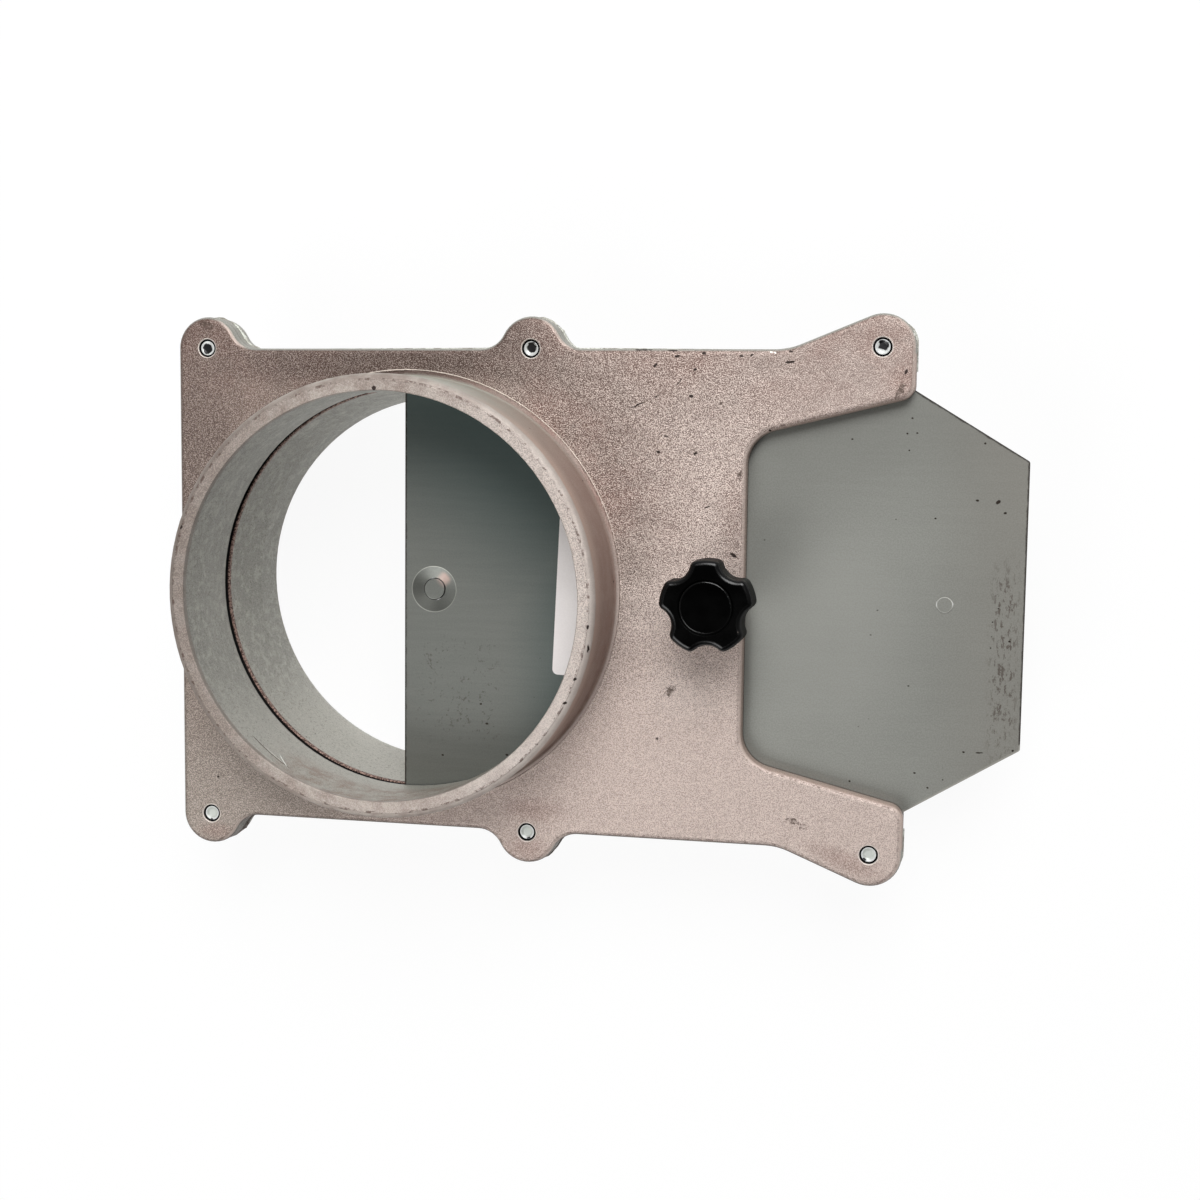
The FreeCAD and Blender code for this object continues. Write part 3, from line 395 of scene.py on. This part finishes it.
    # Grime along the rounded edges, and a painted highlight along those facing +x
    edge = g.band(level, 0.80, 0.97, 0.06)
    edge = g.math("MULTIPLY", edge, g.ease(g.noise(1300, 4, 0.7), 0.44, 0.62, 0.05, 0.70))
    edge = g.math("MULTIPLY", edge, g.ease(radius, 0.0516, 0.0520))
    color = g.mix(edge, color, linear(88, 68, 60))
    rim_edge = g.math("MULTIPLY", g.band(radius, 0.0483, 0.0489, 0.00012),
                      g.ease(g.math("ABSOLUTE", g.math("SUBTRACT", z, FRONT_RIM / 2)), 0.0262, 0.0268))
    rim_edge = g.math("MULTIPLY", rim_edge, g.ease(g.noise(520, 4, 0.7), 0.50, 0.62, 0.0, 0.8))
    color = g.mix(rim_edge, color, linear(84, 62, 54))
    painted_highlight_edge = g.math("MULTIPLY", g.band(level, 0.55, 0.93, 0.04), g.ease(nx, 0.15, 0.40))
    painted_highlight_edge = g.math("MULTIPLY", painted_highlight_edge, g.ease(radius, 0.0560, 0.0580, 0.0, 0.55))
    color = g.mix(painted_highlight_edge, color, linear(222, 204, 194))

    # A painted highlight along the collar's root, and lines at the joint and the mould's parting
    painted_highlight_root = g.math("MULTIPLY", g.band(radius, 0.05156, 0.05170, 0.00004), facing)
    painted_highlight_root = g.math("MULTIPLY", painted_highlight_root, g.ease(y, 0.008, 0.024, 0.15, 1.0))
    color = g.mix(painted_highlight_root, color, linear(246, 234, 222))
    on_outer_wall = g.math("MULTIPLY", g.ease(level, 0.5, 0.2), outside)
    joint = g.math("MULTIPLY", g.band(z, PARTING - 0.00012, PARTING + 0.00012, 0.00006), on_outer_wall)
    color = g.mix(joint, color, linear(40, 36, 32))
    mould_line = g.math("MULTIPLY", g.band(z, MOULD_LINE - 0.00013, MOULD_LINE + 0.00012, 0.00006),
                        on_outer_wall)
    color = g.mix(g.math("MULTIPLY", mould_line, 0.7), color, linear(70, 64, 58))

    # The slot's inside painted dark as shade, and the burr and painted shade along its lip where it opens
    # in the bore
    in_slot = g.math("MULTIPLY", g.band(z, PARTING - 0.00005, SLOT_TOP, 0.00003),
                     g.band(y, -SLOT_HALF_WIDTH, SLOT_HALF_WIDTH, 0.0001))
    in_slot = g.math("MULTIPLY", in_slot, g.band(x, SLOT_END, NOTCH_LEFT + 0.0010, 0.0001))
    in_slot = g.math("MULTIPLY", in_slot, g.ease(radius, 0.04782, 0.04790))
    color = g.mix(in_slot, color, linear(14, 11, 10))
    slot_edge = g.math("MULTIPLY", g.ease(radius, 0.04790, 0.04786), g.ease(radius, 0.0470, 0.0472))
    burr = g.math("MULTIPLY", slot_edge, g.band(z, PARTING - 0.00100, PARTING + 0.00005, 0.00006))
    burr_tone = g.mix(g.ease(g.noise(2600, 2), 0.42, 0.60), linear(74, 52, 46), linear(168, 140, 128))
    color = g.mix(burr, color, burr_tone)
    painted_shade_slot_lip = g.math("MULTIPLY", slot_edge, g.band(z, SLOT_TOP - 0.00010, SLOT_TOP + 0.00040, 0.00008))
    color = g.mix(painted_shade_slot_lip, color, linear(30, 24, 22))

    # Pits, marks, smudges, lines and chips
    on_face = g.math("MULTIPLY", g.band(z, FRONT_FACE - 0.0012, FRONT_FACE + 0.0005, 0.0001), outside)
    pits = g.ease(g.cells(260), 0.10, 0.05)
    pits = g.math("MULTIPLY", pits, g.ease(g.noise(90, 2), 0.62, 0.68))
    height = g.math("MULTIPLY_ADD", pits, -1.2, g.math("MULTIPLY", grain, rough_part))
    plate_marks = g.math("MULTIPLY", g.marks(PLATE_MARKS, outside=1.35, within=1.0), on_face)
    pits = g.math("MAXIMUM", pits, plate_marks)
    pits = g.math("MAXIMUM", pits, g.math("MULTIPLY", g.marks(RIM_MARKS), on_rim))
    smudge = g.math("MULTIPLY", g.marks(PLATE_SMUDGES, 0.0016), on_face)
    smudge = g.math("MULTIPLY", smudge, g.ease(g.noise(1100, 3, 0.7), 0.42, 0.56, 0.25, 0.9))
    color = g.mix(smudge, color, linear(84, 70, 62))
    color = g.mix(pits, color, linear(48, 36, 32))
    for start, end, start_z, end_z, half_width, tone in BORE_LINES:
        slope = (end_z - start_z) / (end - start)
        line_z = g.math("MULTIPLY_ADD", x, slope, (start_z - slope * start) * MM)
        off_line = g.math("ABSOLUTE", g.math("SUBTRACT", z, line_z))
        line = g.math("MULTIPLY", g.ease(off_line, (half_width + 0.08) * MM, half_width * MM), inside)
        line = g.math("MULTIPLY", line, g.band(x, start * MM, end * MM, 0.0006))
        line = g.math("MULTIPLY", line, g.ease(y, -0.028, -0.030))
        color = g.mix(g.math("MULTIPLY", line, 0.9), color, linear(*tone))
    chips = g.math("MULTIPLY", g.marks(BRIGHT_CHIPS), on_face)
    color = g.mix(chips, color, linear(240, 236, 230))

    # The screw holes: painted highlights on their rims and painted shade on their walls
    folded = g.add("ShaderNodeCombineXYZ")
    for socket, source in zip(folded.inputs, (x, g.math("ABSOLUTE", y))):
        g.feed(socket, source)
    from_screw = None
    for screw_place in SCREW_PLACES:
        far = g.from_point(*screw_place, folded.outputs[0])
        from_screw = far if from_screw is None else g.math("MINIMUM", from_screw, far)
    painted_highlight_hole_rim = g.math("MULTIPLY", g.band(from_screw, 0.00212, 0.00236, 0.00004), on_face)
    color = g.mix(g.math("MULTIPLY", painted_highlight_hole_rim, 0.8), color, linear(240, 230, 222))
    painted_shade_hole_wall = g.math("MULTIPLY", g.ease(from_screw, 0.00214, 0.00211),
                       g.ease(z, PARTING, PARTING + 0.001))
    color = g.mix(painted_shade_hole_wall, color, linear(26, 20, 18))

    normal = g.bump(height, 0.00010)
    uneven = g.math("MULTIPLY", rough_part, g.math("MULTIPLY_ADD", on_rim, -0.8, 1.0))
    normal = g.bump(g.math("MULTIPLY", g.noise(160, 3), uneven), 0.0004, normal)
    roughness = g.math("MULTIPLY_ADD", turned, 0.16, g.ease(grain, 0.3, 0.7, 0.60, 0.46))
    g.surface(color, roughness, 0.5, normal)
    return g.material


def blade_sheet(name):
    g = Graph(name)
    x, y, _ = g.split(g.place)
    streaks = g.noise(1.0, 3, 0.6, g.stretched((60, 900, 60)))
    blotch = g.noise(22, 4, 0.6)
    color = g.mix(blotch, linear(149, 150, 144), linear(156, 157, 151))
    color = g.mix(g.ease(g.noise(3000, 2, 0.7), 0.36, 0.64, 0.0, 0.26), color, linear(108, 106, 100))
    # Painted shade: darker toward +y, and darker on the part inside the bore
    color = g.mix(g.ease(y, 0.010, 0.050, 0.0, 0.45), color, linear(104, 104, 99))
    painted_shade_in_bore = g.ease(g.math("ADD", x, g.math("MULTIPLY", g.noise(70, 2), 0.004)), 0.0560, 0.0530)
    color = g.mix(g.math("MULTIPLY", painted_shade_in_bore, 0.62), color, linear(78, 82, 78))
    color = g.mix(g.ease(streaks, 0.35, 0.65, 0.0, 0.025), color, linear(196, 196, 190))

    # Wear at the pull end, chips near the inner end, scattered dots
    worn = g.math("MULTIPLY", g.band(x, 0.1350, 0.1406, 0.0016), g.band(y, -0.0330, 0.0080, 0.0060))
    specks = g.noise(1.0, 4, 0.75, g.stretched((1500, 520, 1500)))
    worn = g.math("MULTIPLY", worn, g.ease(specks, 0.53, 0.60, 0.0, 0.75))
    color = g.mix(worn, color, linear(62, 48, 42))
    color = g.mix(g.ease(x, 0.116, 0.142, 0.0, 0.25), color, linear(132, 122, 112))
    chips = g.math("MULTIPLY", g.band(x, 0.002, 0.022, 0.003), g.band(y, -0.036, -0.012, 0.004))
    chips = g.math("MULTIPLY", chips, g.ease(g.noise(900, 4, 0.7), 0.56, 0.68, 0.0, 0.6))
    color = g.mix(chips, color, linear(70, 64, 56))
    dots = g.ease(g.cells(330), 0.075, 0.035)
    dots = g.math("MULTIPLY", dots, g.ease(g.noise(60, 2), 0.60, 0.66))
    dots = g.math("MAXIMUM", dots, g.marks(BLADE_MARKS, 0.0003))
    color = g.mix(dots, color, linear(50, 42, 36))

    # Painted shade, darker and bluer toward the plate, and painted light, paler in the notch
    painted_shade_teal = g.math("MULTIPLY", g.ease(g.math("ADD", x, g.math("MULTIPLY", y, 1.4)), 0.005, 0.075),
                  g.ease(x, 0.060, 0.052))
    painted_shade_teal = g.math("MAXIMUM", painted_shade_teal, g.math("MULTIPLY", g.ease(x, 0.020, 0.040),
                                          g.ease(x, 0.060, 0.052, 0.0, 0.75)))
    color = g.mix(g.math("MULTIPLY", painted_shade_teal, 0.75), color, linear(62, 80, 79))
    painted_light_share = g.marks(BLADE_PAINTED_LIGHT, 0.003, 1.3, 0.3)
    color = g.mix(g.math("MULTIPLY", painted_light_share, 0.30), color, linear(176, 176, 170))

    # The rivet's dish, with its painted shade and glint, a painted shade ring round the rivet, a painted
    # highlight round the dish, and the pin's ring
    from_rivet = g.from_point(*RIVET_PLACE)
    dish = g.band(from_rivet, 0.0027, 0.0054, 0.0003)
    toward_key = g.math("ADD", x, y)
    shade = g.math("MULTIPLY", dish, g.ease(toward_key, 0.0085, 0.0015, 0.0, 0.6))
    color = g.mix(shade, color, linear(68, 68, 64))
    glint = g.math("MULTIPLY", g.band(from_rivet, 0.0012, 0.0047, 0.0006),
                   g.ease(toward_key, 0.0070, 0.0098))
    beside = g.math("ABSOLUTE", g.math("SUBTRACT", x, g.math("ADD", y, RIVET_PLACE[0] * MM)))
    glint = g.math("MULTIPLY", glint, g.ease(beside, 0.0030, 0.0006))
    color = g.mix(g.math("MULTIPLY", glint, 0.6), color, linear(186, 158, 148))
    painted_shade_round_rivet = g.band(from_rivet, 0.00245, 0.00265, 0.00008)
    color = g.mix(painted_shade_round_rivet, color, linear(40, 38, 36))
    painted_highlight_round_dish = g.math("MULTIPLY", g.band(from_rivet, 0.00535, 0.00552, 0.00006), 0.6)
    color = g.mix(painted_highlight_round_dish, color, linear(176, 176, 168))
    ring = g.math("MULTIPLY", g.band(g.from_point(*PIN_PLACE), 0.00164, 0.00186, 0.00005),
                  g.ease(g.noise(380, 3), 0.35, 0.60, 0.25, 0.95))
    color = g.mix(ring, color, linear(226, 226, 218))

    # The cut edges: painted highlights, with painted shade along the lower slanting edge
    slant = g.math("MULTIPLY_ADD", g.math("ABSOLUTE", y), -BLADE_SLANT[1],
                   g.math("MULTIPLY_ADD", x, -BLADE_SLANT[0], BLADE_SLANT[2] * MM))
    inward = g.math("MINIMUM", slant, g.math("SUBTRACT", BLADE_ENDS[1] * MM, x))
    inward = g.math("MINIMUM", inward, g.math("SUBTRACT", x, BLADE_ENDS[0] * MM))
    edge = g.ease(g.math("MULTIPLY_ADD", g.noise(500, 3, 0.7), 0.0006, inward), 0.00085, 0.00050)
    lower_slant = g.math("MULTIPLY", g.ease(slant, 0.0014, 0.0010), g.ease(y, 0.002, -0.002))
    edge_highlight_and_shade = g.mix(lower_slant, linear(44, 36, 33), linear(168, 166, 158))
    color = g.mix(g.math("MULTIPLY", edge, 0.85), color, edge_highlight_and_shade)
    roughness = g.ease(blotch, 0.3, 0.7, 0.38, 0.41)
    g.surface(color, roughness, 0.6, g.bump(streaks, 0.000004))
    return g.material


def knob_plastic(name, gloss):
    g = Graph(name)
    _, _, nz = g.split(g.normal)
    fine = g.noise(1800, 2)
    smear = g.noise(140, 3)
    color = g.mix(g.ease(smear, 0.4, 0.7), linear(1, 1, 1), linear(4, 4, 4))
    dust = g.ease(g.cells(420), 0.06, 0.03)
    dust = g.math("MULTIPLY", dust, g.ease(g.noise(120, 2), 0.58, 0.64))
    color = g.mix(dust, color, linear(120, 110, 104))
    roughness = g.ease(smear, 0.3, 0.7, gloss, gloss + 0.08)
    upright = g.ease(g.math("ABSOLUTE", nz), 0.35, 0.05)
    level = g.ease(nz, 0.985, 0.997)
    roughness = g.math("MULTIPLY_ADD", upright, 0.25, roughness)
    shader = g.surface(color, roughness, 0.0, g.bump(fine, 0.00002))
    sheen = g.math("MULTIPLY_ADD", upright, -0.24, 0.30)
    g.feed(shader.inputs["Specular IOR Level"], g.math("MULTIPLY_ADD", level, -0.24, sheen))
    return g.material


# Painted dark reflection on each screw's tip: its middle from the screw's own, and its radius, in mm.
TIP_SHADES = {
    "body_screw_1": (-0.15, 0.0, 1.15),
    "body_screw_2": (0.1, 0.3, 1.00),
    "body_screw_3": (0.3, 0.35, 1.15),
    "body_screw_4": (0.0, -1.60, 0.45),
    "body_screw_5": (0.2, -1.55, 0.45),
    "body_screw_6": (-0.9, -1.20, 0.45),
}


def zinc_steel(name, centre=None):
    """Zinc-plated steel; where centre is given in mm, the screw's tip there is painted with its
    reflections and a shade ring.
    """
    g = Graph(name)
    _, _, z = g.split(g.place)
    fine = g.noise(1500, 3)
    tone = g.noise(300, 2)
    color = g.mix(tone, linear(176, 184, 192), linear(216, 220, 220))
    grime = g.ease(g.noise(520, 3), 0.60, 0.72)
    color = g.mix(g.math("MULTIPLY", grime, 0.4), color, linear(72, 64, 56))
    roughness = g.ease(fine, 0.3, 0.7, 0.14, 0.26)
    normal = g.bump(fine, 0.00001)
    if centre is None:
        g.surface(color, roughness, 1.0, normal)
        return g.material
    at_tip = g.ease(z, FRONT_FACE - 0.0011, FRONT_FACE - 0.0009)
    ring = g.math("MULTIPLY", at_tip, g.ease(g.from_point(*centre), 0.00158, 0.00172))
    # Painted shade in the gap round the tip
    color = g.mix(ring, color, linear(24, 22, 22))
    shade_x, shade_y, shade_radius = TIP_SHADES[name]
    from_shade = g.from_point(centre[0] + shade_x, centre[1] + shade_y, g.shaken(700, 0.0014))
    shade = g.ease(from_shade, (shade_radius + 0.15) * MM, (shade_radius - 0.1) * MM)
    # The tip painted as a bright reflection with a dark reflected patch, and the lower ones with a bright
    # face
    tip = g.mix(shade, linear(206, 208, 206), linear(5, 5, 7))
    if centre[1] < 0:
        face = g.from_point(centre[0], centre[1] + 0.15, g.shaken(900, 0.0004))
        tip = g.mix(g.ease(face, 0.00130, 0.00145), linear(186, 190, 184), tip)
    inside = g.math("SUBTRACT", at_tip, ring)
    color = g.mix(inside, color, tip)
    roughness = g.math("MULTIPLY_ADD", inside, 0.2, roughness)
    g.surface(color, roughness, g.math("MULTIPLY_ADD", at_tip, -0.85, 1.0), normal)
    return g.material


def torn_metal(name):
    """Pale torn flash, dark along the gate's lower side."""
    g = Graph(name)
    patch = g.noise(320, 4, 0.7)
    color = g.mix(g.ease(patch, 0.40, 0.60), linear(146, 142, 132), linear(208, 210, 202))
    color = g.mix(g.ease(g.noise(500, 3, 0.7), 0.58, 0.68, 0.0, 0.8), color, linear(70, 54, 48))
    x, y, _ = g.split(g.place)
    low = g.math("MULTIPLY", g.ease(y, -0.054, -0.056, 0.0, 0.8), g.ease(x, 0.112, 0.106))
    color = g.mix(low, color, linear(78, 62, 55))
    g.surface(color, 0.6, 0.3, g.bump(g.noise(2400, 3), 0.00008))
    return g.material


def label_paper(name):
    g = Graph(name)
    fibre = g.noise(2600, 3, 0.6)
    shade = g.noise(90, 3)
    color = g.mix(shade, linear(222, 216, 215), linear(236, 231, 229))
    color = g.mix(g.ease(fibre, 0.3, 0.7, 0.0, 0.10), color, linear(186, 174, 168))
    g.surface(color, 0.5, 0.0, g.bump(fibre, 0.00002))
    return g.material


# Floor, backdrop and light

FLOOR_DROP = 0.0002
FLOOR_HALF = 3.0
FLOOR_WHITE = 0.86
FLOOR_GLOW_SHARE = 0.93


def make_floor():
    """A pale floor that glows a little to the camera, and is plain to everything else."""
    mesh = bpy.data.meshes.new("floor")
    corners = [(-FLOOR_HALF, -FLOOR_HALF, -FLOOR_DROP), (FLOOR_HALF, -FLOOR_HALF, -FLOOR_DROP),
               (FLOOR_HALF, FLOOR_HALF, -FLOOR_DROP), (-FLOOR_HALF, FLOOR_HALF, -FLOOR_DROP)]
    mesh.from_pydata(corners, [], [(0, 1, 2, 3)])
    floor = bpy.data.objects.new("floor", mesh)
    bpy.context.scene.collection.objects.link(floor)
    g = Graph("floor")
    path = g.add("ShaderNodeLightPath")
    seen = g.math("MAXIMUM", path.outputs["Is Camera Ray"], path.outputs["Is Glossy Ray"])
    seen = g.math("MAXIMUM", seen, path.outputs["Is Transmission Ray"])
    diffuse = g.add("ShaderNodeBsdfDiffuse")
    diffuse.inputs["Color"].default_value = (FLOOR_WHITE, FLOOR_WHITE, FLOOR_WHITE, 1)
    glow = g.add("ShaderNodeEmission")
    glow.inputs["Strength"].default_value = 1.0
    both = g.add("ShaderNodeMixShader")
    g.feed(both.inputs[0], g.math("MULTIPLY", seen, FLOOR_GLOW_SHARE))
    g.tree.links.new(diffuse.outputs[0], both.inputs[1])
    g.tree.links.new(glow.outputs[0], both.inputs[2])
    out = g.add("ShaderNodeOutputMaterial")
    g.tree.links.new(both.outputs[0], out.inputs[0])
    mesh.materials.append(g.material)


def make_lamp(name, place, target, size, power, height):
    """A round lamp, or one of size by height where a height is given."""
    data = bpy.data.lights.new(name, "AREA")
    data.shape = "DISK" if height is None else "RECTANGLE"
    data.size = size
    if height is not None:
        data.size_y = height
    data.energy = power
    lamp = bpy.data.objects.new(name, data)
    lamp.location = place
    lamp.rotation_mode = "QUATERNION"
    lamp.rotation_quaternion = (Vector(target) - Vector(place)).to_track_quat("-Z", "Y")
    bpy.context.scene.collection.objects.link(lamp)


# The sky's strength, and how much stronger it is toward +y; then each lamp's name, place, the point it
# looks at, size, power and, for an oblong one, height.
SKY_AT_HORIZON = 0.30
SKY_OVERHEAD = 0.08
SKY_BEHIND = 0.14
LAMPS = [
    ("key", (0.24, 0.76, 1.00), (0.04, 0, 0.03), 0.8, 16, None),
    ("fill", (-0.50, -0.70, 0.90), (0.04, 0, 0.03), 0.7, 7, None),
    ("strip", (-0.14, -0.26, 0.70), (0.03, -0.06, 0.03), 0.62, 0.35, 0.12),
]


def make_light():
    world = bpy.data.worlds.new("world")
    bpy.context.scene.world = world
    world.use_nodes = True
    tree = world.node_tree
    background = tree.nodes["Background"]
    path = tree.nodes.new("ShaderNodeLightPath")
    direction = tree.nodes.new("ShaderNodeTexCoord")
    parts = tree.nodes.new("ShaderNodeSeparateXYZ")
    tree.links.new(direction.outputs["Generated"], parts.inputs[0])
    level = tree.nodes.new("ShaderNodeMapRange")
    tree.links.new(parts.outputs["Z"], level.inputs["Value"])
    level.inputs["To Min"].default_value = SKY_AT_HORIZON
    level.inputs["To Max"].default_value = SKY_OVERHEAD
    glow = tree.nodes.new("ShaderNodeMath")
    glow.operation = "MULTIPLY_ADD"
    tree.links.new(parts.outputs["Y"], glow.inputs[0])
    glow.inputs[1].default_value = SKY_BEHIND
    tree.links.new(level.outputs[0], glow.inputs[2])
    strength = tree.nodes.new("ShaderNodeMix")
    tree.links.new(path.outputs["Is Camera Ray"], strength.inputs["Factor"])
    tree.links.new(glow.outputs[0], strength.inputs[2])
    strength.inputs[3].default_value = 1.0
    tree.links.new(strength.outputs[0], background.inputs["Strength"])
    background.inputs["Color"].default_value = (1, 1, 1, 1)
    for lamp in LAMPS:
        make_lamp(*lamp)


bpy.context.scene.view_settings.view_transform = "Standard"
make_camera()
make_floor()
make_light()

CAST = cast_aluminium("cast_aluminium")
SHEET = blade_sheet("blade_sheet")
STEEL = zinc_steel("zinc_steel")
KNOB = knob_plastic("knob_plastic", 0.22)
CAP = knob_plastic("cap_plastic", 0.14)
PAPER = label_paper("label_paper")
FLASH = torn_metal("torn_metal")


def finish_for(name):
    if name.endswith("casting"):
        return CAST
    if name == "lock_knob":
        return KNOB
    if name == "knob_cap":
        return CAP
    if name in ("gate_blade", "open_stop_rivet", "closed_index_pin"):
        return SHEET
    if name.startswith("body_screw"):
        low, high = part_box(name)
        return zinc_steel(name, ((low.x + high.x) / 2 / MM, (low.y + high.y) / 2 / MM))
    return STEEL


for name, part in nodes.items():
    part.data.materials.clear()
    part.data.materials.append(finish_for(name))


# Small edge breaks on the pieces cut from sheet and rod

EDGE_BREAK = 0.00020
SHARP = math.radians(50)

for name in ["gate_blade", "lock_stud"] + [n for n in nodes if "washer" in n]:
    bevel = nodes[name].modifiers.new("edge_break", "BEVEL")
    bevel.width = EDGE_BREAK
    bevel.segments = 2
    bevel.limit_method = "ANGLE"
    bevel.angle_limit = SHARP


# Casting flash along the joint of the two castings

FLASH_HALF_HEIGHT = 0.00022
FLASH_LEAST = 0.00015
FLASH_MOST = 0.00070
FLASH_WING_SHARE = 1.6
FLASH_ROOT = 0.0001
FINE_WAVES = 900
COARSE_WAVES = 260
# The joint's face ends here at the slot's open end, among the wings.
SLOT_MOUTH = 0.1300


def joint_outline():
    """The front casting's corners, and for each one on the joint's outline what follows and its normal."""
    casting = nodes["front_casting"]
    mesh = bmesh.new()
    mesh.from_mesh(casting.data)
    mesh.transform(casting.matrix_world)
    bmesh.ops.remove_doubles(mesh, verts=mesh.verts, dist=0.000001)
    follows = {}
    for edge in mesh.edges:
        if any(abs(v.co.z - PARTING) > 0.00001 for v in edge.verts):
            continue
        upright = [f for f in edge.link_faces if abs(f.normal.z) < 0.3]
        middle = (edge.verts[0].co + edge.verts[1].co) / 2
        in_slot = abs(middle.y) < SLOT_HALF_WIDTH and SLOT_END < middle.x < SLOT_MOUTH
        if len(edge.link_faces) == 2 and len(upright) == 1 and not in_slot:
            for first, second in (edge.verts, reversed(edge.verts)):
                follows.setdefault(first.index, []).append((second.index, upright[0].normal.copy()))
    places = {v.index: v.co.copy() for v in mesh.verts}
    mesh.free()
    return places, follows


def make_flash():
    """A thin ragged fin round the joint, kept inside the gate's own box."""
    places, follows = joint_outline()
    low, high = cad_box
    made = bmesh.new()
    rings = {}
    for start, ends in follows.items():
        outward = sum((normal for _, normal in ends), Vector()).normalized()
        place = places[start]
        wave = noise.fractal(place * FINE_WAVES, 0.6, 2.0, 3)
        burr = max(0.0, noise.noise(place * COARSE_WAVES) - 0.15) * 1.6
        reach = FLASH_LEAST + (FLASH_MOST - FLASH_LEAST) * min(1.0, abs(wave) * 0.5 + burr)
        if outward.x > 0.8:
            reach *= FLASH_WING_SHARE
        tip = place + outward * reach
        tip.x = min(max(tip.x, low[0]), high[0])
        tip.y = min(max(tip.y, low[1]), high[1])
        inner = place - outward * FLASH_ROOT
        rings[start] = [made.verts.new((inner.x, inner.y, PARTING - FLASH_HALF_HEIGHT)),
                        made.verts.new((tip.x, tip.y, PARTING - FLASH_HALF_HEIGHT / 3)),
                        made.verts.new((tip.x, tip.y, PARTING + FLASH_HALF_HEIGHT / 3)),
                        made.verts.new((inner.x, inner.y, PARTING + FLASH_HALF_HEIGHT))]
    for start, ends in follows.items():
        for end, _ in ends:
            if start < end and end in rings:
                for row in range(4):
                    after = (row + 1) % 4
                    made.faces.new((rings[start][row], rings[end][row],
                                    rings[end][after], rings[start][after]))
    bmesh.ops.recalc_face_normals(made, faces=made.faces)
    mesh = bpy.data.meshes.new("joint_flash")
    made.to_mesh(mesh)
    made.free()
    mesh.materials.append(FLASH)
    flash = bpy.data.objects.new("joint_flash", mesh)
    bpy.context.scene.collection.objects.link(flash)
    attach(flash, "housing")


make_flash()


# Bare paper label on the blade

LABEL_TOP = 22.6
LABEL_BOTTOM = -19.6
LABEL_LEFT = 35.3
LABEL_RIGHT = 52.0
LABEL_ROUND = 1.3
LABEL_TILT = math.radians(2.3)
LABEL_THICKNESS = 0.04
LABEL_CORNER_STEPS = 8


def make_label():
    blade_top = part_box("gate_blade")[1].z / MM
    corners = [(LABEL_LEFT, LABEL_BOTTOM, 180), (LABEL_RIGHT, LABEL_BOTTOM, 270),
               (LABEL_RIGHT, LABEL_TOP, 0), (LABEL_LEFT, LABEL_TOP, 90)]
    outline = []
    for corner_x, corner_y, start in corners:
        centre_x = corner_x + LABEL_ROUND * (1 if corner_x == LABEL_LEFT else -1)
        centre_y = corner_y + LABEL_ROUND * (1 if corner_y == LABEL_BOTTOM else -1)
        for step in range(LABEL_CORNER_STEPS + 1):
            angle = math.radians(start + step * 90 / LABEL_CORNER_STEPS)
            outline.append((centre_x + LABEL_ROUND * math.cos(angle),
                            centre_y + LABEL_ROUND * math.sin(angle)))
    middle = Vector(((LABEL_LEFT + LABEL_RIGHT) / 2, (LABEL_TOP + LABEL_BOTTOM) / 2))
    made = bmesh.new()
    rings = []
    for height in (0.0, LABEL_THICKNESS):
        ring = []
        for place in outline:
            turned = Vector(place) - middle
            turned.rotate(Matrix.Rotation(-LABEL_TILT, 2))
            turned += middle
            ring.append(made.verts.new((turned.x * MM, turned.y * MM, (blade_top + height) * MM)))
        rings.append(ring)
    made.faces.new(rings[1])
    made.faces.new(list(reversed(rings[0])))
    count = len(outline)
    for index in range(count):
        after = (index + 1) % count
        made.faces.new((rings[0][index], rings[0][after], rings[1][after], rings[1][index]))
    mesh = bpy.data.meshes.new("blade_label")
    made.to_mesh(mesh)
    made.free()
    mesh.materials.append(PAPER)
    label = bpy.data.objects.new("blade_label", mesh)
    bpy.context.scene.collection.objects.link(label)
    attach(label, "gate")


make_label()
